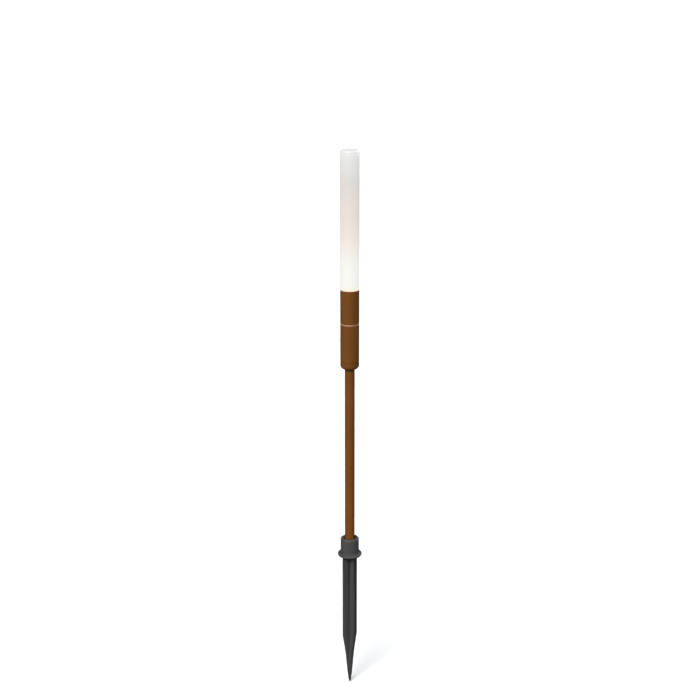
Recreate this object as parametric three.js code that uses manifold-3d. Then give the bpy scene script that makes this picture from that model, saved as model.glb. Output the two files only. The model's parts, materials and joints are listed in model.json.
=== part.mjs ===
// Low-voltage garden torch light: an opal tube on a two-part brown head, a thin stem and a black
// plastic ground spike. Millimetres, +Z up. The origin is on the axis at the soil line, which is
// the underside of the spike's flange. The cable leaves at the back, towards +Y.
import * as THREE from 'three';
import { mergeVertices } from 'three/addons/utils/BufferGeometryUtils.js';
import Module from 'manifold-3d';

const wasm = await Module();
wasm.setup();

// ---------------------------------------------------------------- driving dimensions

const FIT = 0.3; // clearance between two pieces that meet
const ROUND_SIDES = 32; // sides of the large turned pieces
const SMALL_SIDES = 16; // sides of screws, pins and small holes
const ARC_STEPS = 3; // straight pieces in a quarter round

// ground spike: blade, flange and collar
const BLADE_LENGTH = 297; // soil line to tip
const BLADE_STRAIGHT = 183; // soil line to where the blade starts to taper
const BLADE_SHOULDER = 42; // height of the first, steeper taper
const BLADE_POINT = 6; // height of the blunt point
const BLADE_WIDTH = 33.6;
const BLADE_SHOULDER_WIDTH = 18.7; // width between the two tapers
const BLADE_TIP_WIDTH = 4.1; // width where the blunt point starts
const BLADE_POINT_WIDTH = 1.2;
const RIB_ROOT_THICKNESS = 6;
const RIB_EDGE_THICKNESS = 4;
const RIB_ROOT_CHAMFER = 2.2; // web in the four inner corners of the blade
const FLANGE_RADIUS = 24.8;
const FLANGE_THICKNESS = 6.6;
const COLLAR_RADIUS = 18.9;
const COLLAR_HEIGHT = 39.7; // above the soil line
const COLLAR_EDGE_RADIUS = 3.5;
const SOCKET_MOUTH = 1.5; // funnel round the socket's mouth
const SOCKET_FLOOR = 4; // above the soil line

// cable way out of the collar
const CABLE_HOLE_RADIUS = 3.3;
const GROMMET_WALL = 1.6;
const GROMMET_LIP = 2; // how far the lip is wider than the sleeve
const GROMMET_LIP_THICKNESS = 2;
const CABLE_FLOOR_GAP = 1.5; // socket floor to the underside of the cable hole

// bush in the socket
const BUSH_WALL = 2;
const BUSH_RECESS = 3; // collar top down to the bush
const BUSH_LIP_THICKNESS = 2;
const BUSH_OVER_CABLE = 1.6; // cable hole's top to the underside of the bush

// stem
const STEM_RADIUS = 10;
const STEM_WALL = 1.5;
const STEM_VISIBLE = 365.7; // collar top to the underside of the head
const GUARD_DEPTH = 9; // cable guard pushed into the stem's lower end
const GUARD_WALL = 2;
const STEM_LIP_THICKNESS = 1.3; // lip of the cable guard and of the top plug
const PLUG_DEPTH = 16; // top plug pushed into the stem

// threaded stud between stem and head
const STUD_RADIUS = 5;
const STUD_BORE_RADIUS = 3.5;
const STUD_PROUD = 2; // stud above its nut
const NUT_ACROSS_FLATS = 17;
const NUT_HEIGHT = 6;
const WASHER_RADIUS = 9.5;
const WASHER_THICKNESS = 1.5;

// head
const HEAD_RADIUS = 18.8;
const HOUSING_WALL = 2.2;
const LOWER_HEIGHT = 91.1; // underside of the head to the split
const UPPER_HEIGHT = 67; // split to the rim under the tube
const HEAD_EDGE_RADIUS = 8.3; // round lower edge
const RIM_CHAMFER = 0.4;
const STEM_SOCKET_DEPTH = 11.9; // stem's way into the head
const BASE_WEB = 3; // floor of the lower housing
const RING_HEIGHT = 3;
const RING_RECESS = 0.4; // ring inside the head's surface
const NECK_WALL = 2.2;
const NECK_HEIGHT = 10; // threaded neck above the ring
const NECK_SHOULDER = 1.4; // how far the neck stands inside the housing's wall
const NECK_CONE = 3.6; // height of the cone under the neck
const NECK_LEDGE = 1; // ledge that carries the wiring plate
const NECK_LEDGE_HEIGHT = 3.1;
const SEAL_GROOVE_DEPTH = 1.6;
const SEAL_FROM_NECK_TOP = 6.4; // neck top down to the middle of the seal

// wiring plate, terminal block and jack
const PLATE_THICKNESS = 2.5;
const TONGUE_GAP = 0.6; // jack to the tongue beside it
const TONGUE_THICKNESS = 2;
const TONGUE_LENGTH = 38;
const TERMINAL_WIDTH = 12;
const TERMINAL_DEPTH = 8;
const TERMINAL_HEIGHT = 14;
const TERMINAL_PITCH = 5.6;
const TERMINAL_WIRE_RADIUS = 1.5; // wire holes through the block
const TERMINAL_SCREW_RADIUS = 1.8;
const TERMINAL_SCREW_DEPTH = 1.6;
const JACK_RADIUS = 5.5;
const JACK_FLANGE_RADIUS = 7.5;
const JACK_FLANGE_THICKNESS = 1.2;
const JACK_TAIL = 8; // jack below the wiring plate
const JACK_PIN_RADIUS = 0.75;
const LEAD_RADIUS = 0.8;

// plug on the driver board
const BARREL_RADIUS = 2.75;
const BARREL_LENGTH = 9.5;
const PLUG_BODY_RADIUS = 4.5;
const PLUG_BODY_HEIGHT = 7.4;
const PLUG_OVER_NECK = 1.5; // neck top up to the plug's body

// driver board and what it carries
const BOARD_THICKNESS = 1.6;
const DRIVER_BOARD_GAP = 0.7; // board edge to the ledge that it passes through
const BOARD_MARGIN = 0.8; // part to the edge of its board
const STANDOFF_RADIUS = 2.5;
const STANDOFF_THREAD_DEPTH = 6;
const INDUCTOR_RADIUS = 4.2;
const INDUCTOR_HEIGHT = 6;
const CAPACITOR_RADIUS = 3.2;
const CAPACITOR_HEIGHT = 8;
const CHIP_WIDTH = 6;
const CHIP_DEPTH = 4;
const CHIP_HEIGHT = 1.8;

// heat sink, LED board and reflector
const LEDGE_WIDTH = 1.7; // ledge in the upper housing
const LEDGE_HEIGHT = 3;
const SINK_THICKNESS = 5;
const FIN_HEIGHT = 8;
const FIN_THICKNESS = 1.6;
const FIN_PITCH = 4.2;
const FIN_ROWS = 2; // fins on each side of the lead way
const LEAD_WAY_RADIUS = 3;
const LEAD_SPREAD = 1.4; // lead centre off the axis
const LED_BOARD_GAP = 1.1; // LED board to the housing's wall
const LED_SIZE = 3.5;
const LED_BASE_HEIGHT = 0.8;
const LED_DOME_RADIUS = 1.5;
const STATION_COUNT = 8; // places round the LED board, two of them screws
const SCREW_RADIUS = 1.25;
const SCREW_HEAD_RADIUS = 2.2;
const SCREW_HEAD_HEIGHT = 1.6;
const BOARD_SCREW_DEPTH = 4; // board screw's way into the heat sink
const REFLECTOR_WALL = 2.7;
const REFLECTOR_HEIGHT = 6.3;

// opal tube
const TUBE_PROUD = 0.2; // tube wider than the head, on the radius
const TUBE_WALL = 3;
const TUBE_HEIGHT = 274; // above the head
const TUBE_CAP = 3.4;
const TUBE_EDGE_RADIUS = 5;
const SPIGOT_LENGTH = 14; // spigot below the head's rim
const SPIGOT_CLEARANCE = 0.4;
const SPIGOT_WALL = 2.4;
const SPIGOT_CONE = 3.5; // height of the cone inside, above the spigot
const TUBE_SEAL_FROM_RIM = 8;
const TUBE_SEAL_DEPTH = 1.4;

// ---------------------------------------------------------------- places worked out from them

const TWO_PI = 2 * Math.PI;
const OVERLAP = 1; // how far joined shapes run into each other, and cutters past a face

const grommetRadius = CABLE_HOLE_RADIUS + GROMMET_WALL;
const cableHoleRadius = grommetRadius + FIT;
const cableHeight = SOCKET_FLOOR + CABLE_FLOOR_GAP + cableHoleRadius;

const bushInner = STEM_RADIUS + FIT;
const bushOuter = bushInner + BUSH_WALL;
const socketRadius = bushOuter + FIT;
const bushBottom = cableHeight + cableHoleRadius + BUSH_OVER_CABLE;
const bushTop = COLLAR_HEIGHT - BUSH_RECESS;

const stemInner = STEM_RADIUS - STEM_WALL;
const guardBottom = bushBottom + BUSH_LIP_THICKNESS + FIT;
const stemBottom = guardBottom + STEM_LIP_THICKNESS + FIT;

const headBottom = COLLAR_HEIGHT + STEM_VISIBLE;
const stemSocketRadius = STEM_RADIUS + FIT;
const webBottom = headBottom + STEM_SOCKET_DEPTH;
const webTop = webBottom + BASE_WEB;
const plugLipTop = webBottom - FIT;
const stemTop = plugLipTop - STEM_LIP_THICKNESS - FIT;
const washerBottom = webTop + FIT;
const nutBottom = washerBottom + WASHER_THICKNESS + FIT;
const studTop = nutBottom + NUT_HEIGHT + STUD_PROUD;

const housingInner = HEAD_RADIUS - HOUSING_WALL;
const shoulderTop = headBottom + LOWER_HEIGHT;
const ringBottom = shoulderTop + FIT;
const upperBottom = ringBottom + RING_HEIGHT + FIT;
const neckRadius = housingInner - NECK_SHOULDER;
const neckInner = neckRadius - NECK_WALL;
const neckTop = ringBottom + RING_HEIGHT + NECK_HEIGHT;
const threadRadius = neckRadius + FIT + 0.1;
const ledgeInner = neckInner - NECK_LEDGE;
const plateBottom = shoulderTop + FIT;
const plateLedgeTop = plateBottom - FIT;
const neckLedgeBottom = plateLedgeTop - NECK_LEDGE_HEIGHT;
const sealHeight = neckTop - SEAL_FROM_NECK_TOP;

const plateRadius = neckInner - FIT;
const tongueFront = JACK_RADIUS + TONGUE_GAP;
const tongueBack = tongueFront + TONGUE_THICKNESS;
const tongueWidth = 2 * Math.sqrt((ledgeInner - FIT) ** 2 - tongueBack ** 2);
const tongueBottom = plateBottom - TONGUE_LENGTH;
const terminalBack = tongueFront - FIT;
const terminalBottom = tongueBottom + OVERLAP;
const terminalTop = terminalBottom + TERMINAL_HEIGHT;
const jackFlangeBottom = plateBottom + PLATE_THICKNESS + FIT;
const jackBottom = plateBottom - JACK_TAIL;
const jackBore = BARREL_RADIUS + FIT;

const rimTop = upperBottom + UPPER_HEIGHT;
const spigotBottom = rimTop - SPIGOT_LENGTH;
const reflectorTop = spigotBottom - FIT;
const reflectorBottom = reflectorTop - REFLECTOR_HEIGHT;
const ledBoardTop = reflectorBottom - FIT;
const ledBoardBottom = ledBoardTop - BOARD_THICKNESS;
const sinkTop = ledBoardBottom - FIT;
const sinkBottom = sinkTop - SINK_THICKNESS;
const sinkLedgeTop = sinkBottom - FIT;

const plugBodyBottom = neckTop + PLUG_OVER_NECK;
const barrelBottom = plugBodyBottom - BARREL_LENGTH;
const jackTop = plugBodyBottom - FIT;
const driverBottom = plugBodyBottom + PLUG_BODY_HEIGHT + FIT;
const driverTop = driverBottom + BOARD_THICKNESS;
const standoffBottom = driverTop + FIT;
const standoffTop = sinkBottom - FIT;
const sinkLedgeInner = housingInner - LEDGE_WIDTH;
const driverRadius = sinkLedgeInner - DRIVER_BOARD_GAP;
const standoffCircle = driverRadius - STANDOFF_RADIUS - BOARD_MARGIN;
const reflectorOuter = housingInner - FIT;
const reflectorInner = reflectorOuter - REFLECTOR_WALL;
const stationReach = Math.max(LED_SIZE * Math.SQRT1_2, SCREW_HEAD_RADIUS);
const stationCircle = reflectorInner - stationReach - FIT;

const tubeRadius = HEAD_RADIUS + TUBE_PROUD;
const tubeInner = tubeRadius - TUBE_WALL;
const tubeBottom = rimTop + FIT;
const tubeTop = tubeBottom + TUBE_HEIGHT;
const spigotRadius = housingInner - SPIGOT_CLEARANCE;
const spigotInner = spigotRadius - SPIGOT_WALL;
const tubeSealHeight = rimTop - TUBE_SEAL_FROM_RIM;

// ---------------------------------------------------------------- shapes

// Points of a round corner about (cr, cz), from one angle to another, in degrees.
function corner(cr, cz, radius, fromAngle, toAngle, steps = ARC_STEPS) {
  const points = [];
  for (let i = 0; i <= steps; i += 1) {
    const angle = THREE.MathUtils.degToRad(fromAngle + ((toAngle - fromAngle) * i) / steps);
    points.push([cr + radius * Math.cos(angle), cz + radius * Math.sin(angle)]);
  }
  return points;
}

// A solid turned about +Z from [radius, height] points, closed on the axis or on itself.
function turnedGeometry(profile, sides = ROUND_SIDES) {
  const points = profile.map(([r, z]) => new THREE.Vector2(r, z));
  const last = points[points.length - 1];
  if (points[0].x > 0 || last.x > 0) points.push(points[0].clone());
  return new THREE.LatheGeometry(points, sides).rotateX(Math.PI / 2);
}

function boxGeometry(width, depth, height, x, y, zBottom) {
  return new THREE.BoxGeometry(width, depth, height).translate(x, y, zBottom + height / 2);
}

function rodGeometry(radius, zBottom, zTop, x = 0, y = 0, sides = SMALL_SIDES) {
  const rod = new THREE.CylinderGeometry(radius, radius, zTop - zBottom, sides);
  return rod.rotateX(Math.PI / 2).translate(x, y, (zBottom + zTop) / 2);
}

// A flat outline of [x, z] points, as thick as given along Y and centred on it.
function slabGeometry(outline, thickness) {
  const shape = new THREE.Shape(outline.map(([x, z]) => new THREE.Vector2(x, z)));
  const slab = new THREE.ExtrudeGeometry(shape, { depth: thickness, bevelEnabled: false });
  return slab.rotateX(Math.PI / 2).translate(0, thickness / 2, 0);
}

// A round wire along a smooth curve through the points.
function wireGeometry(points, radius, steps) {
  const path = new THREE.CatmullRomCurve3(points.map((p) => new THREE.Vector3(...p)));
  const section = new THREE.Shape().absarc(0, 0, radius, 0, TWO_PI);
  const options = { steps, curveSegments: 4, bevelEnabled: false, extrudePath: path };
  return new THREE.ExtrudeGeometry(section, options);
}

// The merged, outward-facing mesh of a geometry as a solid that can be joined and cut.
function solid(geometry) {
  const bare = new THREE.BufferGeometry();
  bare.setAttribute('position', geometry.getAttribute('position'));
  if (geometry.index) bare.setIndex(geometry.index);
  const merged = mergeVertices(bare, 1e-4);
  const at = merged.getAttribute('position');
  const corners = [];
  let volume = 0;
  const [a, b, c] = [new THREE.Vector3(), new THREE.Vector3(), new THREE.Vector3()];
  for (let i = 0; i < merged.index.count; i += 3) {
    const tri = [0, 1, 2].map((k) => merged.index.getX(i + k));
    if (new Set(tri).size < 3) continue;
    a.fromBufferAttribute(at, tri[0]);
    b.fromBufferAttribute(at, tri[1]);
    c.fromBufferAttribute(at, tri[2]);
    volume += a.dot(b.cross(c));
    corners.push(tri);
  }
  if (volume < 0) corners.forEach((tri) => tri.reverse());
  const vertProperties = Float32Array.from(at.array);
  const triVerts = Uint32Array.from(corners.flat());
  return new wasm.Manifold(new wasm.Mesh({ numProp: 3, vertProperties, triVerts }));
}

const turned = (profile, sides) => solid(turnedGeometry(profile, sides));
const box = (...sizes) => solid(boxGeometry(...sizes));
const rod = (...sizes) => solid(rodGeometry(...sizes));

// A plain ring of rectangular section.
function ring(inner, outer, zBottom, zTop, sides) {
  return turned([[inner, zBottom], [outer, zBottom], [outer, zTop], [inner, zTop]], sides);
}

// An O-ring that lies in a groove, clear of the groove's floor and of the bore round it.
function oRing(grooveRadius, boreRadius, height) {
  const section = (boreRadius - grooveRadius) / 2 - FIT;
  return turned(corner((boreRadius + grooveRadius) / 2, height, section, 0, 300, 5));
}

// A pan-head screw: the head's underside is at headZ, and the shank points up or down.
function screw(headZ, shankLength, pointsUp, x, y) {
  const up = pointsUp ? 1 : -1;
  const shankEnds = [headZ - up * 0.2, headZ + up * shankLength].sort((p, q) => p - q);
  const headEnds = [headZ, headZ - up * SCREW_HEAD_HEIGHT].sort((p, q) => p - q);
  const slotZ = pointsUp ? headEnds[0] - OVERLAP : headEnds[1] - SCREW_HEAD_HEIGHT / 2;
  const slotHeight = SCREW_HEAD_HEIGHT / 2 + OVERLAP;
  return rod(SCREW_RADIUS, ...shankEnds, x, y)
    .add(rod(SCREW_HEAD_RADIUS, ...headEnds, x, y))
    .subtract(box(SCREW_HEAD_RADIUS * 1.4, 0.6, slotHeight, x, y, slotZ))
    .subtract(box(0.6, SCREW_HEAD_RADIUS * 1.4, slotHeight, x, y, slotZ));
}

// ---------------------------------------------------------------- the part

const materials = {
  brown: { color: 0x714826, roughness: 0.55, metalness: 0.1 },
  trim: { color: 0xa57a62, roughness: 0.45, metalness: 0.3 },
  black: { color: 0x38393b, roughness: 0.5, metalness: 0 },
  rubber: { color: 0x1c1c1c, roughness: 0.85, metalness: 0 },
  opal: { color: 0xf4f1ec, roughness: 0.35, metalness: 0 },
  alloy: { color: 0xb9bcbf, roughness: 0.4, metalness: 1 },
  steel: { color: 0xc4c4c6, roughness: 0.3, metalness: 1 },
  white: { color: 0xf2f2ee, roughness: 0.5, metalness: 0 },
  board: { color: 0x2f6b45, roughness: 0.5, metalness: 0 },
  lead: { color: 0xb5302a, roughness: 0.5, metalness: 0 },
  phosphor: { color: 0xf3d36a, roughness: 0.4, metalness: 0 },
};

const torch = new THREE.Group();

function addPiece(name, shape, materialName) {
  const mesh = shape.getMesh();
  const geometry = new THREE.BufferGeometry();
  const positions = Float32Array.from(mesh.vertProperties);
  geometry.setAttribute('position', new THREE.BufferAttribute(positions, 3));
  geometry.setIndex(new THREE.BufferAttribute(Uint32Array.from(mesh.triVerts), 1));
  geometry.computeVertexNormals();
  const piece = new THREE.Mesh(geometry, new THREE.MeshStandardMaterial(materials[materialName]));
  piece.name = name;
  torch.add(piece);
}

// ---- ground spike: a four-ribbed blade under a flange and a collar with the stem's socket

function bladeShape() {
  const edge = RIB_EDGE_THICKNESS / 2;
  const root = RIB_ROOT_THICKNESS / 2;
  const web = root + RIB_ROOT_CHAMFER;
  const half = BLADE_WIDTH / 2;
  const section = [];
  for (let quarter = 0; quarter < 4; quarter += 1) {
    const turn = (quarter * Math.PI) / 2;
    for (const [x, y] of [[half, -edge], [half, edge], [web, root], [root, web]]) {
      const point = new THREE.Vector2(x, y).rotateAround(new THREE.Vector2(), turn);
      section.push(point);
    }
  }
  const length = BLADE_LENGTH + FLANGE_THICKNESS / 2;
  const options = { depth: length, bevelEnabled: false };
  const cross = new THREE.ExtrudeGeometry(new THREE.Shape(section), options);
  cross.translate(0, 0, -BLADE_LENGTH);
  const halfWidths = [
    [FLANGE_THICKNESS, BLADE_WIDTH + OVERLAP],
    [0, BLADE_WIDTH + OVERLAP],
    [0, BLADE_WIDTH],
    [-BLADE_STRAIGHT, BLADE_WIDTH],
    [-BLADE_STRAIGHT - BLADE_SHOULDER, BLADE_SHOULDER_WIDTH],
    [-BLADE_LENGTH + BLADE_POINT, BLADE_TIP_WIDTH],
    [-BLADE_LENGTH, BLADE_POINT_WIDTH],
  ].map(([z, width]) => [width / 2, z]);
  const mirrored = halfWidths.map(([x, z]) => [-x, z]).reverse();
  const taper = slabGeometry([...halfWidths, ...mirrored], 2 * BLADE_WIDTH);
  const crossTaper = taper.clone().rotateZ(Math.PI / 2);
  return solid(cross).intersect(solid(taper)).intersect(solid(crossTaper));
}

function collarShape() {
  const edge = Math.min(COLLAR_EDGE_RADIUS, COLLAR_RADIUS - socketRadius - SOCKET_MOUTH - FIT);
  const rim = FLANGE_THICKNESS / 2;
  return turned([
    [0, SOCKET_FLOOR],
    [socketRadius, SOCKET_FLOOR],
    [socketRadius, COLLAR_HEIGHT - SOCKET_MOUTH],
    [socketRadius + SOCKET_MOUTH, COLLAR_HEIGHT],
    ...corner(COLLAR_RADIUS - edge, COLLAR_HEIGHT - edge, edge, 90, 0),
    [COLLAR_RADIUS, FLANGE_THICKNESS],
    ...corner(FLANGE_RADIUS - rim, rim, rim, 90, -90, 2 * ARC_STEPS),
    [0, 0],
  ]);
}

const lipRadius = grommetRadius + GROMMET_LIP;
const spotRadius = lipRadius + FIT;
const spotFace = Math.sqrt(COLLAR_RADIUS ** 2 - spotRadius ** 2);

// A turned shape laid along +Y at the height of the cable hole.
function alongCable(profile, sides) {
  const geometry = turnedGeometry(profile, sides).rotateX(-Math.PI / 2);
  return solid(geometry.translate(0, 0, cableHeight));
}

const cableCut = alongCable([
  [0, 0],
  [cableHoleRadius, 0],
  [cableHoleRadius, spotFace],
  [spotRadius, spotFace],
  [spotRadius, COLLAR_RADIUS + OVERLAP],
  [0, COLLAR_RADIUS + OVERLAP],
], SMALL_SIDES);
addPiece('ground_spike', bladeShape().add(collarShape()).subtract(cableCut), 'black');

const grommetInside = socketRadius + FIT;
const lipBack = spotFace + FIT;
addPiece('cable_grommet', alongCable([
  [CABLE_HOLE_RADIUS, grommetInside],
  [grommetRadius, grommetInside],
  [grommetRadius, lipBack],
  [lipRadius, lipBack],
  [lipRadius, lipBack + GROMMET_LIP_THICKNESS / 2],
  [grommetRadius, lipBack + GROMMET_LIP_THICKNESS],
  [CABLE_HOLE_RADIUS, lipBack + GROMMET_LIP_THICKNESS],
], SMALL_SIDES), 'rubber');

// ---- bush that grips the stem

addPiece('stem_bush', turned([
  [stemInner, bushBottom],
  [bushOuter, bushBottom],
  [bushOuter, bushTop],
  [bushInner, bushTop],
  [bushInner, bushBottom + BUSH_LIP_THICKNESS],
  [stemInner, bushBottom + BUSH_LIP_THICKNESS],
]), 'rubber');

// ---- stem with its cable guard below and its threaded plug above

addPiece('stem_tube', ring(stemInner, STEM_RADIUS, stemBottom, stemTop), 'brown');

const guardOuter = stemInner - FIT;
const lipOuter = STEM_RADIUS - FIT;
addPiece('stem_cable_guard', turned([
  [guardOuter - GUARD_WALL, guardBottom],
  [lipOuter, guardBottom],
  [lipOuter, guardBottom + STEM_LIP_THICKNESS],
  [guardOuter, guardBottom + STEM_LIP_THICKNESS],
  [guardOuter, stemBottom + GUARD_DEPTH],
  [guardOuter - GUARD_WALL, stemBottom + GUARD_DEPTH],
], SMALL_SIDES * 2), 'black');

addPiece('stem_plug', turned([
  [STUD_BORE_RADIUS, stemTop - PLUG_DEPTH],
  [guardOuter, stemTop - PLUG_DEPTH],
  [guardOuter, plugLipTop - STEM_LIP_THICKNESS],
  [lipOuter, plugLipTop - STEM_LIP_THICKNESS],
  [lipOuter, plugLipTop],
  [STUD_RADIUS, plugLipTop],
  [STUD_RADIUS, studTop],
  [STUD_BORE_RADIUS, studTop],
]), 'alloy');

const studHole = STUD_RADIUS + FIT;
const washerTop = washerBottom + WASHER_THICKNESS;
addPiece('stem_washer', ring(studHole, WASHER_RADIUS, washerBottom, washerTop), 'steel');
const nutRadius = NUT_ACROSS_FLATS / Math.sqrt(3);
const nutBlank = rod(nutRadius, nutBottom, nutBottom + NUT_HEIGHT, 0, 0, 6);
const nutBore = rod(studHole, nutBottom - OVERLAP, studTop, 0, 0, ROUND_SIDES);
addPiece('stem_nut', nutBlank.subtract(nutBore), 'steel');

// ---- lower housing with its threaded neck, seal and wiring plate

const headEdge = Math.min(HEAD_EDGE_RADIUS, HEAD_RADIUS - stemSocketRadius - FIT / 2);
const grooveHalf = SEAL_GROOVE_DEPTH / 2 + FIT / 2;
addPiece('lower_housing', turned([
  [stemSocketRadius, headBottom],
  ...corner(HEAD_RADIUS - headEdge, headBottom + headEdge, headEdge, -90, 0, 2 * ARC_STEPS),
  [HEAD_RADIUS, shoulderTop - RIM_CHAMFER],
  [HEAD_RADIUS - RIM_CHAMFER, shoulderTop],
  [neckRadius, shoulderTop],
  [neckRadius, sealHeight - grooveHalf],
  [neckRadius - SEAL_GROOVE_DEPTH, sealHeight - grooveHalf],
  [neckRadius - SEAL_GROOVE_DEPTH, sealHeight + grooveHalf],
  [neckRadius, sealHeight + grooveHalf],
  [neckRadius, neckTop - RIM_CHAMFER],
  [neckRadius - RIM_CHAMFER, neckTop],
  [neckInner, neckTop],
  [neckInner, plateLedgeTop],
  [ledgeInner, plateLedgeTop],
  [ledgeInner, neckLedgeBottom],
  [housingInner, neckLedgeBottom - NECK_CONE],
  [housingInner, webTop],
  [studHole, webTop],
  [studHole, webBottom],
  [stemSocketRadius, webBottom],
]), 'brown');

const jointSeal = oRing(neckRadius - SEAL_GROOVE_DEPTH, threadRadius, sealHeight);
addPiece('joint_seal', jointSeal, 'rubber');

const plateDisc = ring(JACK_RADIUS + FIT, plateRadius, plateBottom, plateBottom + PLATE_THICKNESS);
const tongueHeight = TONGUE_LENGTH + OVERLAP;
const tongueMiddle = (tongueFront + tongueBack) / 2;
const tongue = box(tongueWidth, TONGUE_THICKNESS, tongueHeight, 0, tongueMiddle, tongueBottom);
addPiece('wiring_plate', plateDisc.add(tongue), 'black');

// ---- terminal block on the plate's tongue, and the jack in its middle

const terminalSides = [-1, 1];
let terminalBlock = box(
  TERMINAL_WIDTH, TERMINAL_DEPTH, TERMINAL_HEIGHT,
  0, terminalBack - TERMINAL_DEPTH / 2, terminalBottom,
);
const wireHoleY = terminalBack - TERMINAL_DEPTH / 2 + OVERLAP;
const terminalFront = terminalBack - TERMINAL_DEPTH;
const terminalMiddle = (terminalBottom + terminalTop) / 2;
for (const side of terminalSides) {
  const x = (side * TERMINAL_PITCH) / 2;
  const ends = [terminalBottom - OVERLAP, terminalTop + OVERLAP];
  const wireHole = rod(TERMINAL_WIRE_RADIUS, ...ends, x, wireHoleY);
  const pocketDepth = TERMINAL_SCREW_DEPTH + FIT;
  const pocket = rodGeometry(TERMINAL_SCREW_RADIUS + FIT, -OVERLAP, pocketDepth);
  pocket.rotateX(-Math.PI / 2).translate(x, terminalFront, terminalMiddle);
  terminalBlock = terminalBlock.subtract(wireHole).subtract(solid(pocket));
}
addPiece('terminal_block', terminalBlock, 'white');

terminalSides.forEach((side, index) => {
  const head = rodGeometry(TERMINAL_SCREW_RADIUS, 0, TERMINAL_SCREW_DEPTH);
  const slot = boxGeometry(2 * TERMINAL_SCREW_RADIUS + OVERLAP, 0.6, 0.6 + OVERLAP, 0, 0, -OVERLAP);
  const place = [(side * TERMINAL_PITCH) / 2, terminalFront, terminalMiddle];
  const [turnedHead, turnedSlot] = [head, slot].map((shape) => (
    solid(shape.rotateX(-Math.PI / 2).translate(...place))
  ));
  addPiece(`terminal_screw_${index + 1}`, turnedHead.subtract(turnedSlot), 'steel');
});

addPiece('base_jack', turned([
  [0, jackBottom],
  [JACK_RADIUS, jackBottom],
  [JACK_RADIUS, jackFlangeBottom],
  [JACK_FLANGE_RADIUS, jackFlangeBottom],
  [JACK_FLANGE_RADIUS, jackFlangeBottom + JACK_FLANGE_THICKNESS],
  [JACK_RADIUS, jackFlangeBottom + JACK_FLANGE_THICKNESS],
  [JACK_RADIUS, jackTop],
  [jackBore, jackTop],
  [jackBore, barrelBottom - FIT],
  [JACK_PIN_RADIUS, barrelBottom - FIT],
  [JACK_PIN_RADIUS, jackTop - OVERLAP],
  [0, jackTop - OVERLAP],
], SMALL_SIDES), 'black');

terminalSides.forEach((side, index) => {
  const startX = side * JACK_RADIUS * 0.5;
  const endX = (side * TERMINAL_PITCH) / 2;
  const [startZ, endZ] = [jackBottom - FIT, terminalTop - 3];
  const middle = [side * JACK_RADIUS * 0.8, wireHoleY / 2, (startZ + terminalTop) / 2];
  const points = [
    [startX, 0, startZ],
    [startX, 0, startZ - 2],
    middle,
    [endX, wireHoleY, terminalTop + 2],
    [endX, wireHoleY, endZ],
  ];
  addPiece(`jack_lead_${index + 1}`, solid(wireGeometry(points, LEAD_RADIUS, 16)), 'lead');
});

// ---- trim ring at the split

const ringTop = ringBottom + RING_HEIGHT;
const ringRadius = HEAD_RADIUS - RING_RECESS;
addPiece('joint_ring', turned([
  [neckRadius + FIT, ringBottom],
  [ringRadius - RIM_CHAMFER, ringBottom],
  [ringRadius, ringBottom + RIM_CHAMFER],
  [ringRadius, ringTop - RIM_CHAMFER],
  [ringRadius - RIM_CHAMFER, ringTop],
  [neckRadius + FIT, ringTop],
]), 'trim');

// ---- upper housing

addPiece('upper_housing', turned([
  [threadRadius, upperBottom],
  [HEAD_RADIUS - RIM_CHAMFER, upperBottom],
  [HEAD_RADIUS, upperBottom + RIM_CHAMFER],
  [HEAD_RADIUS, rimTop - RIM_CHAMFER],
  [HEAD_RADIUS - RIM_CHAMFER, rimTop],
  [housingInner + RIM_CHAMFER, rimTop],
  [housingInner, rimTop - RIM_CHAMFER],
  [housingInner, sinkLedgeTop],
  [sinkLedgeInner, sinkLedgeTop],
  [sinkLedgeInner, sinkLedgeTop - LEDGE_HEIGHT],
  [housingInner, sinkLedgeTop - LEDGE_HEIGHT - LEDGE_WIDTH],
  [housingInner, neckTop + NECK_SHOULDER],
  [threadRadius, neckTop + NECK_SHOULDER / 2],
]), 'brown');

// ---- driver board with its plug, parts and stand-offs

const plugTop = plugBodyBottom + PLUG_BODY_HEIGHT;
const barrelBore = JACK_PIN_RADIUS + FIT;
addPiece('head_plug', turned([
  [0, plugBodyBottom],
  [barrelBore, plugBodyBottom],
  [barrelBore, barrelBottom],
  [BARREL_RADIUS, barrelBottom],
  [BARREL_RADIUS, plugBodyBottom],
  [PLUG_BODY_RADIUS, plugBodyBottom],
  [PLUG_BODY_RADIUS, plugTop],
  [0, plugTop],
], SMALL_SIDES), 'black');

const screwHole = SCREW_RADIUS + FIT;
let driverBoard = rod(driverRadius, driverBottom, driverTop, 0, 0, ROUND_SIDES);
for (const side of [-1, 1]) {
  const x = side * standoffCircle;
  const ends = [driverBottom - OVERLAP, driverTop + OVERLAP];
  driverBoard = driverBoard.subtract(rod(screwHole, ...ends, x));
}
addPiece('driver_board', driverBoard, 'board');

[-1, 1].forEach((side, index) => {
  const x = side * standoffCircle;
  const post = rod(STANDOFF_RADIUS, standoffBottom, standoffTop, x);
  const threadTop = standoffBottom + STANDOFF_THREAD_DEPTH;
  const thread = rod(screwHole, standoffBottom - OVERLAP, threadTop, x);
  addPiece(`driver_standoff_${index + 1}`, post.subtract(thread), 'alloy');
  const shank = threadTop - FIT - (driverBottom - FIT);
  addPiece(`driver_screw_${index + 1}`, screw(driverBottom - FIT, shank, true, x, 0), 'steel');
});

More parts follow.
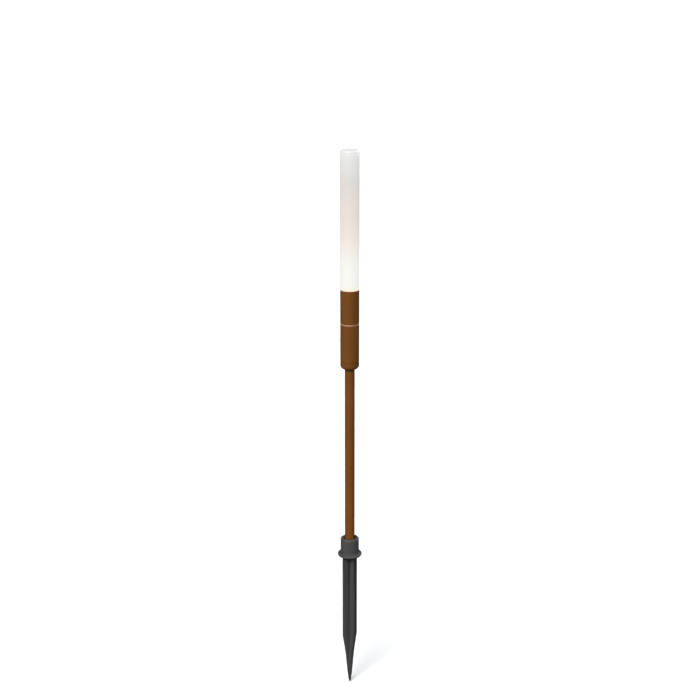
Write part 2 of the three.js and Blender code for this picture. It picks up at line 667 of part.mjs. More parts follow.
// A round part standing on the driver board at an angle, as near the edge as its size lets it.
function onDriverBoard(radius, height, angle) {
  const reach = driverRadius - radius - BOARD_MARGIN;
  const x = reach * Math.cos(THREE.MathUtils.degToRad(angle));
  const y = reach * Math.sin(THREE.MathUtils.degToRad(angle));
  return rod(radius, driverTop + FIT, driverTop + FIT + height, x, y);
}
addPiece('driver_inductor', onDriverBoard(INDUCTOR_RADIUS, INDUCTOR_HEIGHT, 255), 'rubber');
addPiece('driver_capacitor', onDriverBoard(CAPACITOR_RADIUS, CAPACITOR_HEIGHT, 75), 'black');
const chipY = driverRadius - CHIP_DEPTH / 2 - BOARD_MARGIN;
const chipBottom = driverBottom - FIT - CHIP_HEIGHT;
addPiece('driver_chip', box(CHIP_WIDTH, CHIP_DEPTH, CHIP_HEIGHT, 0, chipY, chipBottom), 'rubber');

// ---- heat sink with fins below it

function heatSinkShape() {
  const finBottom = sinkBottom - FIN_HEIGHT;
  const finHeight = FIN_HEIGHT + OVERLAP;
  const room = rod(sinkLedgeInner - 2 * FIT, finBottom, sinkTop, 0, 0, ROUND_SIDES);
  let shape = rod(reflectorOuter, sinkBottom, sinkTop, 0, 0, ROUND_SIDES);
  for (let row = 1; row <= FIN_ROWS; row += 1) {
    for (const side of [-1, 1]) {
      const y = side * row * FIN_PITCH;
      const fin = box(2 * HEAD_RADIUS, FIN_THICKNESS, finHeight, 0, y, finBottom);
      shape = shape.add(fin.intersect(room));
    }
  }
  const leadWay = rod(LEAD_WAY_RADIUS, sinkBottom - OVERLAP, sinkTop + OVERLAP);
  shape = shape.subtract(leadWay);
  for (const y of [-stationCircle, stationCircle]) {
    const holeBottom = sinkTop - BOARD_SCREW_DEPTH - FIT;
    shape = shape.subtract(rod(screwHole, holeBottom, sinkTop + OVERLAP, 0, y));
  }
  return shape;
}
addPiece('heat_sink', heatSinkShape(), 'alloy');

[-1, 1].forEach((side, index) => {
  const x = side * LEAD_SPREAD;
  const points = [
    [x, 0, driverTop + FIT],
    [x * 1.3, 0, (driverTop + sinkBottom) / 2],
    [x, 0, ledBoardBottom - FIT],
  ];
  addPiece(`led_lead_${index + 1}`, solid(wireGeometry(points, LEAD_RADIUS, 10)), 'lead');
});

// ---- LED board with its LEDs and screws, and the reflector round them

let ledBoard = rod(housingInner - LED_BOARD_GAP, ledBoardBottom, ledBoardTop, 0, 0, ROUND_SIDES);
for (const y of [-stationCircle, stationCircle]) {
  const ends = [ledBoardBottom - OVERLAP, ledBoardTop + OVERLAP];
  ledBoard = ledBoard.subtract(rod(screwHole, ...ends, 0, y));
}
addPiece('led_board', ledBoard, 'white');

function ledShape(angle) {
  const base = boxGeometry(LED_SIZE, LED_SIZE, LED_BASE_HEIGHT, 0, 0, 0);
  const dome = turnedGeometry([[0, 0], ...corner(0, 0, LED_DOME_RADIUS, 0, 90, 3)], SMALL_SIDES);
  dome.translate(0, 0, LED_BASE_HEIGHT - 0.2);
  const [led, lens] = [base, dome].map((shape) => (
    solid(shape.translate(stationCircle, 0, ledBoardTop + FIT).rotateZ(angle))
  ));
  return led.add(lens);
}

let ledNumber = 0;
let boardScrewNumber = 0;
for (let station = 0; station < STATION_COUNT; station += 1) {
  const angle = (station * TWO_PI) / STATION_COUNT;
  if (station % (STATION_COUNT / 2) === STATION_COUNT / 4) {
    boardScrewNumber += 1;
    const y = stationCircle * Math.sin(angle);
    const shank = BOARD_SCREW_DEPTH + BOARD_THICKNESS + FIT;
    const piece = screw(ledBoardTop + FIT, shank, false, 0, y);
    addPiece(`board_screw_${boardScrewNumber}`, piece, 'steel');
  } else {
    ledNumber += 1;
    addPiece(`led_${ledNumber}`, ledShape(angle), 'phosphor');
  }
}

const reflector = ring(reflectorInner, reflectorOuter, reflectorBottom, reflectorTop);
addPiece('reflector_ring', reflector, 'white');

// ---- opal tube, closed at the top, with a spigot that seals in the upper housing

const capInner = Math.max(TUBE_EDGE_RADIUS - TUBE_WALL, OVERLAP);
const tubeGrooveHalf = TUBE_SEAL_DEPTH / 2 + FIT / 2;
const tubeGroove = spigotRadius - TUBE_SEAL_DEPTH;
const capUnderside = tubeTop - TUBE_CAP;
addPiece('diffuser_tube', turned([
  [0, tubeTop],
  ...corner(tubeRadius - TUBE_EDGE_RADIUS, tubeTop - TUBE_EDGE_RADIUS, TUBE_EDGE_RADIUS, 90, 0),
  [tubeRadius, tubeBottom],
  [spigotRadius, tubeBottom],
  [spigotRadius, tubeSealHeight + tubeGrooveHalf],
  [tubeGroove, tubeSealHeight + tubeGrooveHalf],
  [tubeGroove, tubeSealHeight - tubeGrooveHalf],
  [spigotRadius, tubeSealHeight - tubeGrooveHalf],
  [spigotRadius, spigotBottom],
  [spigotInner, spigotBottom],
  [spigotInner, tubeBottom],
  [tubeInner, tubeBottom + SPIGOT_CONE],
  ...corner(tubeInner - capInner, capUnderside - capInner, capInner, 0, 90, 2),
  [0, capUnderside],
]), 'opal');
addPiece('diffuser_seal', oRing(tubeGroove, housingInner, tubeSealHeight), 'rubber');

export default torch;
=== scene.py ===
# %% [markdown]
# # A slim garden torch light
# The light is an opal plastic tube on a brown powder-coated head, on a thin stem that stands in a
# black plastic ground spike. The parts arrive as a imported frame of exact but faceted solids, and this
# lesson makes the surfaces that a person sees and touches. Every length is in metres.

# %% load the frame
import json
import math

import bmesh
import bpy
from mathutils import Matrix, Vector


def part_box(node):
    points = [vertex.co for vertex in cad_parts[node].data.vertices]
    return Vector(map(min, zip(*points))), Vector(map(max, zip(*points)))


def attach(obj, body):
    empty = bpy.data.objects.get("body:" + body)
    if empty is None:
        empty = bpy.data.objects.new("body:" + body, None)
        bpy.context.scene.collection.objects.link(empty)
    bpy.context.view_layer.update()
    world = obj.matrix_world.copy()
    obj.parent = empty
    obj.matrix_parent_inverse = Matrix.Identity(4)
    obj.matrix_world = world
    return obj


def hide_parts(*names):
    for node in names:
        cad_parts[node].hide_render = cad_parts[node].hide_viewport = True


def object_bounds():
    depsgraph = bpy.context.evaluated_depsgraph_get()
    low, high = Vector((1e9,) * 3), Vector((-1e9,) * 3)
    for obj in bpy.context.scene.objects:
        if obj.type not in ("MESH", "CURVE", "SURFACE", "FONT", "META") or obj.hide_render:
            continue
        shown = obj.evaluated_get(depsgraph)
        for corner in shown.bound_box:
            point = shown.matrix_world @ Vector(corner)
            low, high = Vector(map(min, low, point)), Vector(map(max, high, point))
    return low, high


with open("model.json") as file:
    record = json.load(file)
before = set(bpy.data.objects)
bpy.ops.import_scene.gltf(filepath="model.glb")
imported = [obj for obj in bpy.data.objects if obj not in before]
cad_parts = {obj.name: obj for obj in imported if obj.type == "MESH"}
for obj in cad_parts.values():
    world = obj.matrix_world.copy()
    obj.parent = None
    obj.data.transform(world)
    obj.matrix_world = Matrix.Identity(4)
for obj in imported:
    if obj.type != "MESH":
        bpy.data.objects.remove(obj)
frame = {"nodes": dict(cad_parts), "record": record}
cad_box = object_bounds()
print("nodes in the frame:", len(frame["nodes"]), "overall box:", cad_box)

# %% [markdown]
# ## Camera
# The light is tall and thin, so it is looked at from a few metres away with a longish lens, from a
# little above. The spike's blade has four ribs, and from this side one of them points to the right
# of the camera. The camera comes first, because every later choice of detail depends on it.

# %% camera
CAMERA_DISTANCE = 2.6
CAMERA_PITCH = math.radians(16.5)
CAMERA_TURN = math.radians(33)
CAMERA_AIM = Vector((0.0004, -0.0003, 0.444))
CAMERA_LENS = 67.4

back = Vector((-math.sin(CAMERA_TURN), -math.cos(CAMERA_TURN), math.tan(CAMERA_PITCH))).normalized()
camera_data = bpy.data.cameras.new("camera")
camera_data.lens = CAMERA_LENS
camera_data.clip_end = 200
camera = bpy.data.objects.new("camera", camera_data)
camera.location = CAMERA_AIM + CAMERA_DISTANCE * back
camera.rotation_euler = back.to_track_quat("Z", "Y").to_euler()
bpy.context.scene.collection.objects.link(camera)
bpy.context.scene.camera = camera
print("camera at", [round(v, 3) for v in camera.location])

# %% [markdown]
# ## Small helpers for shader trees
# A material here is a tree of nodes. Building one by hand takes many lines that say the same thing, so
# one helper adds a node, sets its options, and either links a socket or sets a value. The others
# stand for the small groups of nodes that come back in most trees.

# %% node helper
def put(tree, kind, feeds=None, **options):
    """Adds a node. A feed is a socket to link or a value to set, by input name or number."""
    node = tree.nodes.new(kind)
    for key, value in options.items():
        setattr(node, key, value)
    for key, value in (feeds or {}).items():
        if isinstance(value, bpy.types.NodeSocket):
            tree.links.new(value, node.inputs[key])
        else:
            node.inputs[key].default_value = value
    return node


def math_node(tree, operation, first, second=0.0, clamp=False):
    node = put(tree, "ShaderNodeMath", {0: first, 1: second}, operation=operation, use_clamp=clamp)
    return node.outputs[0]


def spread(tree, value, low, high, to_low=0.0, to_high=1.0):
    """Stretches a value that runs from low to high over a new range, without leaving it."""
    feeds = {"Value": value, "From Min": low, "From Max": high, "To Min": to_low, "To Max": to_high}
    return put(tree, "ShaderNodeMapRange", feeds).outputs["Result"]


def blend_colours(tree, mask, first, second):
    node = put(tree, "ShaderNodeMix", {0: mask, 6: first, 7: second}, data_type="RGBA")
    return node.outputs[2]


def object_place(tree):
    """The place on the piece, in metres."""
    return put(tree, "ShaderNodeTexCoord").outputs["Object"]


def cloud(tree, place, size, detail, **feeds):
    """Noise with patches of a real size in metres."""
    scale = math_node(tree, "DIVIDE", 1.0, size)
    feeds.update({"Vector": place, "Scale": scale, "Detail": detail})
    return put(tree, "ShaderNodeTexNoise", feeds).outputs[0]


def show_and_light(tree, as_light, to_eye, output):
    """The camera sees one shader, and every other ray meets another."""
    eye = put(tree, "ShaderNodeLightPath").outputs["Is Camera Ray"]
    both = put(tree, "ShaderNodeMixShader", {0: eye, 1: as_light.outputs[0], 2: to_eye.outputs[0]})
    tree.links.new(both.outputs[0], tree.nodes[output].inputs["Surface"])


def effect(name, inputs, *outputs):
    """An empty shader group. A tuple is a colour input, and Colour is the one colour output."""
    tree = bpy.data.node_groups.new(name, "ShaderNodeTree")
    for label, value in inputs.items():
        kind = "NodeSocketColor" if isinstance(value, tuple) else "NodeSocketFloat"
        socket = tree.interface.new_socket(name=label, in_out="INPUT", socket_type=kind)
        socket.default_value = value
    for label in outputs:
        kind = "NodeSocketColor" if label == "Colour" else "NodeSocketFloat"
        tree.interface.new_socket(name=label, in_out="OUTPUT", socket_type=kind)
    return tree, tree.nodes.new("NodeGroupInput").outputs, tree.nodes.new("NodeGroupOutput").inputs


def send(tree, result, **values):
    """Links an effect's results to its outputs and returns the finished effect."""
    for label, value in values.items():
        tree.links.new(value, result[label])
    return tree


def use(tree, group, **values):
    """Places an effect in a material with its own values. Labels have spaces for underscores."""
    node = put(tree, "ShaderNodeGroup", node_tree=group)
    for label, value in values.items():
        node.inputs[label.replace("_", " ").capitalize()].default_value = value
    return node.outputs


print("helpers ready")

# %% [markdown]
# ## Light
# A plain pale studio: an even surround, white to the eye but dim as a light, and one very large soft
# lamp, far away in front on the left. A sun with a wide disc does that job. It gives the round
# pieces their form, and its shadow is so soft that the slim stem leaves hardly a trace on the floor.
# A weaker, cooler one on the right greys the right-hand edges.

# %% studio light
SURROUND_STRENGTH = 0.17
WHITE = (1, 1, 1, 1)

world = bpy.data.worlds.new("surround")
world.use_nodes = True
sky = world.node_tree
surround = sky.nodes["Background"]
surround.inputs["Color"].default_value = WHITE
surround.inputs["Strength"].default_value = SURROUND_STRENGTH
backdrop = put(sky, "ShaderNodeBackground", {"Color": WHITE})
show_and_light(sky, surround, backdrop, "World Output")
bpy.context.scene.world = world
bpy.context.scene.view_settings.view_transform = "Standard"


def far_lamp(name, turn, lift, strength, softness, colour):
    """A soft lamp far away. Turn is to the left of the camera, lift above the horizon, in degrees."""
    angle = CAMERA_TURN + math.radians(turn)
    rise = math.radians(lift)
    towards = Vector((-math.sin(angle) * math.cos(rise), -math.cos(angle) * math.cos(rise),
                      math.sin(rise)))
    data = bpy.data.lights.new(name, "SUN")
    data.energy = strength
    data.angle = math.radians(softness)
    data.color = colour
    lamp = bpy.data.objects.new(name, data)
    lamp.rotation_euler = towards.to_track_quat("Z", "Y").to_euler()
    bpy.context.scene.collection.objects.link(lamp)


far_lamp("key_lamp", turn=24, lift=40, strength=3.8, softness=30, colour=(1.0, 0.985, 0.96))
far_lamp("cool_lamp", turn=-122, lift=20, strength=1.7, softness=50, colour=(0.74, 0.85, 1.0))

# %% [markdown]
# ## Shared effects
# Real finishes share a few habits. Moulded plastic and powder coat have a fine grain, every colour
# drifts a little from place to place, turned metal shows rings left by the tool, corners are rubbed,
# and dust settles on what faces up. The group for rubbed corners also gives a mask of inward
# corners, where the black mouldings take painted shade. Each habit is one group, used in many
# materials with its own sizes. All of them read Object coordinates, which are the same metres that
# the pieces are built in.

# %% grain
def grain_effect():
    """Fine pebbled height and a slower ripple, for moulded, sprayed and cast surfaces."""
    inputs = {"Grain size": 0.0005, "Ripple size": 0.006, "Ripple share": 0.5}
    tree, given, result = effect("grain", inputs, "Height")
    place = object_place(tree)
    pebbles = cloud(tree, place, given["Grain size"], 2.0)
    ripples = cloud(tree, place, given["Ripple size"], 1.0)
    rippled = math_node(tree, "MULTIPLY", ripples, given["Ripple share"])
    return send(tree, result, Height=math_node(tree, "ADD", pebbles, rippled))


grain = grain_effect()


# %% drift
def drift_effect():
    """Colour and roughness that wander over a few centimetres, as sprayed and moulded ones do."""
    inputs = {
        "First": (0.5, 0.5, 0.5, 1.0), "Second": (0.4, 0.4, 0.4, 1.0), "Patch size": 0.03,
        "Rough low": 0.4, "Rough high": 0.5, "Stretch": 1.0,
    }
    tree, given, result = effect("drift", inputs, "Colour", "Roughness", "Mask")
    parts = put(tree, "ShaderNodeSeparateXYZ", {0: object_place(tree)}).outputs
    tall = math_node(tree, "MULTIPLY", parts["Z"], given["Stretch"])
    squashed = put(tree, "ShaderNodeCombineXYZ", {"X": parts["X"], "Y": parts["Y"], "Z": tall})
    patches = cloud(tree, squashed.outputs[0], given["Patch size"], 4.0, Roughness=0.6)
    mask = spread(tree, patches, 0.32, 0.68)
    span = math_node(tree, "SUBTRACT", given["Rough high"], given["Rough low"])
    added = math_node(tree, "MULTIPLY", span, mask)
    return send(tree, result, Colour=blend_colours(tree, mask, given["First"], given["Second"]),
                Roughness=math_node(tree, "ADD", added, given["Rough low"]), Mask=mask)


drift = drift_effect()


# %% tool rings
def rings_effect():
    """Fine rings round the Z axis, left by a turning tool or a die."""
    tree, given, result = effect("tool_rings", {"Ring pitch": 0.0002, "Wobble": 0.02}, "Height", "Mask")
    parts = put(tree, "ShaderNodeSeparateXYZ", {0: object_place(tree)}).outputs
    flat = {axis: math_node(tree, "MULTIPLY", parts[axis], given["Wobble"]) for axis in "XY"}
    along = put(tree, "ShaderNodeCombineXYZ", {"Z": parts["Z"], **flat})
    lines = cloud(tree, along.outputs[0], given["Ring pitch"], 3.0)
    return send(tree, result, Height=lines, Mask=spread(tree, lines, 0.4, 0.62))


tool_rings = rings_effect()


# %% rubbed corners
def rubbed_and_painted_shade_effect():
    """Masks of outward corners, broken up as rubbing is, and of inward ones, for painted shade."""
    tree, given, result = effect("rubbed_and_painted_shade", {"Patch size": 0.002, "Amount": 0.5}, "Mask", "Hollow")
    corners = put(tree, "ShaderNodeNewGeometry").outputs["Pointiness"]
    sharp = spread(tree, corners, 0.515, 0.58)
    broken = spread(tree, cloud(tree, object_place(tree), given["Patch size"], 3.0), 0.45, 0.65)
    mask = math_node(tree, "MULTIPLY", sharp, broken)
    return send(tree, result, Mask=math_node(tree, "MULTIPLY", mask, given["Amount"], clamp=True),
                Hollow=spread(tree, corners, 0.485, 0.44))


rubbed_and_painted_shade = rubbed_and_painted_shade_effect()


# %% dust
def dust_effect():
    """A mask of loose dust on what faces up, thicker in patches."""
    tree, given, result = effect("dust", {"Patch size": 0.008, "Amount": 0.3}, "Mask")
    facing = put(tree, "ShaderNodeSeparateXYZ", {0: put(tree, "ShaderNodeNewGeometry").outputs["Normal"]})
    upward = spread(tree, facing.outputs["Z"], 0.55, 1.0)
    patches = spread(tree, cloud(tree, object_place(tree), given["Patch size"], 5.0), 0.38, 0.7)
    mask = math_node(tree, "MULTIPLY", upward, patches)
    return send(tree, result, Mask=math_node(tree, "MULTIPLY", mask, given["Amount"], clamp=True))


dust = dust_effect()
print("effects:", [g.name for g in bpy.data.node_groups])

# %% [markdown]
# ## Finishes
# Each finish starts from a Principled shader. Its colour, roughness and bump come from the effects,
# and whatever is the same all over, such as a coat's own roughness, is set on the shader itself. The
# plainest finishes are only a drift and a grain, so one function makes them from their numbers.

# %% finish helper
def finish(name, **constants):
    """A new material with its Principled shader and the constants set on that shader."""
    material = bpy.data.materials.new(name)
    material.use_nodes = True
    tree = material.node_tree
    shader = tree.nodes["Principled BSDF"]
    for label, value in constants.items():
        shader.inputs[label.replace("_", " ")].default_value = value
    return material, tree, shader


def dusted(tree, colour, patch_size, amount, dust_colour):
    settled = use(tree, dust, patch_size=patch_size, amount=amount)
    return blend_colours(tree, settled["Mask"], colour, dust_colour)


def dress(tree, shader, colour, roughness, height, depth):
    """Links colour and roughness, and a bump whose height stands for a real depth in metres."""
    bump = put(tree, "ShaderNodeBump", {"Height": height, "Distance": depth})
    for value, label in ((colour, "Base Color"), (roughness, "Roughness"), (bump.outputs[0], "Normal")):
        tree.links.new(value, shader.inputs[label])


def simple_finish(name, tone, pebble, depth, dusting=None, **constants):
    """Drifting colour and roughness over a grain, given as the values of those two effects."""
    material, tree, shader = finish(name, **constants)
    drifted = use(tree, drift, **tone)
    colour = dusted(tree, drifted["Colour"], *dusting) if dusting else drifted["Colour"]
    height = use(tree, grain, **pebble)["Height"]
    dress(tree, shader, colour, drifted["Roughness"], height, depth)
    return material


# %% [markdown]
# Rust-brown powder coat is sprayed dry and baked. It melts into a satin skin with a very fine
# pebble, its colour drifts a little between thick and thin places, and it rubs paler on corners.

# %% powder coat
def powder_coat():
    material, tree, shader = finish("brown_powder_coat", Specular_IOR_Level=0.16)
    tone = use(tree, drift, first=(0.176, 0.065, 0.0115, 1), second=(0.154, 0.055, 0.0095, 1),
               patch_size=0.028, rough_low=0.42, rough_high=0.53, stretch=0.35)
    worn_and_painted_shade = use(tree, rubbed_and_painted_shade, patch_size=0.0015, amount=0.35)
    colour = blend_colours(tree, worn_and_painted_shade["Mask"], tone["Colour"], (0.27, 0.14, 0.06, 1))
    colour = dusted(tree, colour, 0.006, 0.22, (0.42, 0.36, 0.29, 1))
    pebble = use(tree, grain, grain_size=0.0005, ripple_size=0.0022, ripple_share=0.9)
    dress(tree, shader, colour, tone["Roughness"], pebble["Height"], depth=0.00007)
    return material


powder = powder_coat()


# %% [markdown]
# The spike, its collar and its flange are one moulding in black plastic. A sparked mould gives it an
# even fine grain. Plastic that flowed down the long blade leaves faint streaks along it.

# %% black moulding
def black_plastic(name, shade, rough_low, rough_high, dustiness):
    material, tree, shader = finish(name, Specular_IOR_Level=0.3)
    dark = tuple(v * 0.72 for v in shade) + (1,)
    tone = use(tree, drift, first=shade + (1,), second=dark, patch_size=0.012,
               rough_low=rough_low, rough_high=rough_high, stretch=0.12)
    worn_and_painted_shade = use(tree, rubbed_and_painted_shade, patch_size=0.0012, amount=0.3)
    colour = blend_colours(tree, worn_and_painted_shade["Mask"], tone["Colour"], (0.11, 0.11, 0.112, 1))
    # painted shade: inward corners are darkened to near black, where shade falls
    colour = blend_colours(tree, worn_and_painted_shade["Hollow"], colour, (0.008, 0.0075, 0.007, 1))
    streaks = use(tree, drift, patch_size=0.0011, stretch=0.03)
    scuffs = spread(tree, streaks["Mask"], 0.62, 0.95, 0.0, 0.22)
    colour = blend_colours(tree, scuffs, colour, (0.13, 0.13, 0.132, 1))
    colour = dusted(tree, colour, 0.005, dustiness, (0.3, 0.28, 0.25, 1))
    pebble = use(tree, grain, grain_size=0.00035, ripple_size=0.004, ripple_share=1.2)
    dress(tree, shader, colour, tone["Roughness"], pebble["Height"], depth=0.00007)
    return material


spike_black = black_plastic("spike_black_plastic", (0.065, 0.066, 0.069), 0.48, 0.62, 0.03)
part_black = black_plastic("small_black_moulding", (0.026, 0.026, 0.028), 0.36, 0.5, 0.05)


# %% [markdown]
# Rubber is duller and blacker than plastic, with no clear highlight and a bloom of grey.

# %% rubber
rubber = simple_finish(
    "black_rubber",
    {"first": (0.013, 0.013, 0.013, 1), "second": (0.028, 0.028, 0.029, 1), "patch_size": 0.004,
     "rough_low": 0.68, "rough_high": 0.86},
    {"grain_size": 0.0002, "ripple_size": 0.0015, "ripple_share": 0.6},
    depth=0.00002, Specular_IOR_Level=0.3)


# %% [markdown]
# The ring between the halves is anodised aluminium in a pinkish tan. Turned rings show through the
# colour, so both the bump and the roughness follow them.

# %% turned metals
def turned_metal(name, first, second, metallic, rough_low, rough_high, pitch, depth):
    material, tree, shader = finish(name, Metallic=metallic)
    tone = use(tree, drift, first=first, second=second, patch_size=0.008,
               rough_low=rough_low, rough_high=rough_high, stretch=3.0)
    lines = use(tree, tool_rings, ring_pitch=pitch)
    colour = blend_colours(tree, lines["Mask"], tone["Colour"], second)
    rough = math_node(tree, "MULTIPLY", lines["Mask"], 0.08)
    rough = math_node(tree, "ADD", rough, tone["Roughness"])
    dress(tree, shader, colour, rough, lines["Height"], depth)
    return material


anodised = turned_metal("tan_anodised_ring", (0.5, 0.262, 0.14, 1), (0.58, 0.31, 0.175, 1),
                        0.35, 0.3, 0.4, 0.00025, 0.00002)
alloy = turned_metal("turned_alloy", (0.6, 0.61, 0.62, 1), (0.5, 0.51, 0.53, 1),
                     1.0, 0.3, 0.42, 0.0003, 0.00003)
steel = turned_metal("plated_steel", (0.62, 0.62, 0.6, 1), (0.52, 0.52, 0.51, 1),
                     1.0, 0.24, 0.36, 0.0002, 0.00002)

# %% [markdown]
# Inside the head there are white mouldings, a green circuit board, wires in soft insulation, and LEDs
# with a yellow phosphor that glows. They show only when the light is taken apart, yet each has the
# finish of the real thing.

# %% white moulding
white_plastic = simple_finish(
    "white_moulding_plastic",
    {"first": (0.76, 0.755, 0.73, 1), "second": (0.68, 0.67, 0.64, 1), "patch_size": 0.006,
     "rough_low": 0.3, "rough_high": 0.45},
    {"grain_size": 0.0003, "ripple_size": 0.003, "ripple_share": 1.0},
    depth=0.00002, dusting=(0.002, 0.2, (0.4, 0.37, 0.32, 1)), Specular_IOR_Level=0.5)


# %% circuit board
def circuit_board():
    """Green lacquer over raised copper tracks, with tinned pads."""
    material, tree, shader = finish("circuit_board", Specular_IOR_Level=0.5)
    place = object_place(tree)
    tracks = put(tree, "ShaderNodeTexVoronoi", {"Vector": place, "Scale": 420.0, "Randomness": 0.75},
                 distance="CHEBYCHEV", feature="F1")
    raised = spread(tree, tracks.outputs["Distance"], 0.34, 0.4)
    pads = put(tree, "ShaderNodeTexVoronoi", {"Vector": place, "Scale": 330.0, "Randomness": 0.35})
    pad = spread(tree, pads.outputs["Distance"], 0.2, 0.17)
    tone = use(tree, drift, first=(0.012, 0.1, 0.035, 1), second=(0.008, 0.075, 0.028, 1),
               patch_size=0.004, rough_low=0.22, rough_high=0.34)
    colour = blend_colours(tree, raised, tone["Colour"], (0.03, 0.19, 0.07, 1))
    colour = blend_colours(tree, pad, colour, (0.62, 0.61, 0.58, 1))
    tree.links.new(pad, shader.inputs["Metallic"])
    height = math_node(tree, "ADD", raised, math_node(tree, "MULTIPLY", pad, 1.5))
    dress(tree, shader, colour, tone["Roughness"], height, depth=0.00004)
    return material


board_green = circuit_board()


# %% wire insulation
insulation = simple_finish(
    "wire_insulation",
    {"first": (0.36, 0.02, 0.014, 1), "second": (0.27, 0.014, 0.01, 1), "patch_size": 0.003,
     "rough_low": 0.34, "rough_high": 0.48, "stretch": 0.4},
    {"grain_size": 0.00015, "ripple_size": 0.0012, "ripple_share": 1.0},
    depth=0.00001, Specular_IOR_Level=0.45)


# %% phosphor
def phosphor_gel():
    """Yellow gel that glows, its glow and colour drifting a little from patch to patch."""
    material, tree, shader = finish("phosphor_gel", Specular_IOR_Level=0.5, Emission_Strength=1.6)
    tone = use(tree, drift, first=(0.82, 0.56, 0.1, 1), second=(0.76, 0.49, 0.07, 1),
               patch_size=0.0008, rough_low=0.2, rough_high=0.3)
    glow = blend_colours(tree, tone["Mask"], (1.0, 0.86, 0.55, 1), (0.95, 0.76, 0.42, 1))
    tree.links.new(glow, shader.inputs["Emission Color"])
    pebble = use(tree, grain, grain_size=0.0002, ripple_size=0.001, ripple_share=1.0)
    dress(tree, shader, tone["Colour"], tone["Roughness"], pebble["Height"], depth=0.00001)
    return material


phosphor = phosphor_gel()

# %% [markdown]
# ## The opal tube's glow and painted light
# Light enters the tube at its foot. A ramp along the tube's own height gives the tube its brightness
# as an emission: the lamp's warm glow, strongest at the foot, with the studio's light and shade on
# the white wall painted in above it, and a painted highlight under the closed top. It is an emission,
# so it stays the same from every side, and a smooth satin skin over it still takes the studio's
# reflections.

# %% opal plastic
tube_low, tube_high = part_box("diffuser_tube")
rim_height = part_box("upper_housing")[1][2]

# height above the rim as a share of the tube, and the colour emitted there: glow and painted light
# together, with a painted highlight in the last two stops
GLOW_AND_PAINTED_LIGHT = [
    (0.0, (0.86, 0.71, 0.52)),
    (0.012, (0.8, 0.74, 0.64)),
    (0.05, (0.775, 0.77, 0.75)),
    (0.19, (0.76, 0.76, 0.725)),
    (0.36, (0.71, 0.655, 0.595)),
    (0.53, (0.655, 0.58, 0.535)),
    (0.6, (0.645, 0.575, 0.53)),
    (0.77, (0.58, 0.558, 0.54)),
    (0.917, (0.63, 0.63, 0.62)),
    (1.0, (0.68, 0.68, 0.68)),
]


def opal_plastic():
    material, tree, shader = finish("opal_tube_plastic", Specular_IOR_Level=0.45, Coat_Weight=0.25,
                                    Coat_Roughness=0.12, Emission_Strength=1.0)
    height = put(tree, "ShaderNodeSeparateXYZ", {0: object_place(tree)}).outputs["Z"]
    share = spread(tree, height, rim_height, tube_high[2])
    ramp = put(tree, "ShaderNodeValToRGB", {"Fac": share})
    stops = ramp.color_ramp.elements
    while len(stops) < len(GLOW_AND_PAINTED_LIGHT):
        stops.new(0.5)
    for stop, (position, colour) in zip(stops, GLOW_AND_PAINTED_LIGHT):
        stop.position = position
        stop.color = colour + (1,)
    # painted light: the ramp's colours are emitted, so the tube's light, shade and top highlight stay the
    # same under any lamp
    tree.links.new(ramp.outputs["Color"], shader.inputs["Emission Color"])
    # the surface colour is a dark grey, far darker than white plastic, so the studio's lamps add little
    # over the painted light
    tone = use(tree, drift, first=(0.155, 0.155, 0.153, 1), second=(0.175, 0.174, 0.171, 1),
               patch_size=0.05, rough_low=0.26, rough_high=0.34, stretch=0.4)
    colour = dusted(tree, tone["Colour"], 0.004, 0.1, (0.45, 0.42, 0.37, 1))
    pebble = use(tree, grain, grain_size=0.0009, ripple_size=0.012, ripple_share=2.0)
    dress(tree, shader, colour, tone["Roughness"], pebble["Height"], depth=0.00002)
    return material


opal = opal_plastic()
print("finishes:", len(bpy.data.materials))

# %% [markdown]
# ## Turned pieces
# The tube, the head, the stem and the ring are all round about the same axis, so each is a profile
# spun round it. A real edge is never perfectly sharp. The helper below replaces each corner of a
# profile by a small arc, with a supporting point on both sides that keeps the flat parts flat under
# smooth shading.

# %% profiles
SIDES = 144
CORNER_STEPS = 4
CORNER_SHARE = 0.4
LEAST_TURN = 25
SUPPORT = 0.0003
AXIS_RADIUS = 1e-7
SHARP_TURN = 38


def arc(radius, height, size, start, end, steps=10):
    """Points of a round stretch about (radius, height), in degrees."""
    points = []
    for i in range(steps + 1):
        angle = math.radians(start + (end - start) * i / steps)
        points.append((radius + size * math.cos(angle), height + size * math.sin(angle)))
    return points


def soften(profile, size=0.0003):
    """Replaces the profile's sharp corners by small arcs. Points on the axis stay as they are."""
    closed = profile[0][0] > 0 and profile[-1][0] > 0
    points = [Vector(p) for p in profile]
    count = len(points)
    result = []
    for i, here in enumerate(points):
        if not closed and i in (0, count - 1):
            result.append(here)
            continue
        before = points[i - 1] - here
        after = points[(i + 1) % count] - here
        turn = math.degrees(math.pi - before.angle(after))
        if turn < LEAST_TURN:
            result.append(here)
            continue
        reach = min(size, CORNER_SHARE * before.length, CORNER_SHARE * after.length)
        start = here + before.normalized() * reach
        end = here + after.normalized() * reach
        if before.length > 4 * SUPPORT:
            result.append(start + before.normalized() * SUPPORT)
        for step in range(CORNER_STEPS + 1):
            t = step / CORNER_STEPS
            result.append((1 - t) ** 2 * start + 2 * t * (1 - t) * here + t ** 2 * end)
        if after.length > 4 * SUPPORT:
            result.append(end + after.normalized() * SUPPORT)
    return [(max(p[0], 0.0), p[1]) for p in result]


# %% spinning
def plain_mesh(name, mesh, turn_out=True):
    """Keeps a mesh in the making as a plain one, by default with every face turned outward."""
    if turn_out:
        bmesh.ops.recalc_face_normals(mesh, faces=mesh.faces)
    data = bpy.data.meshes.new(name)
    mesh.to_mesh(data)
    mesh.free()
    return data


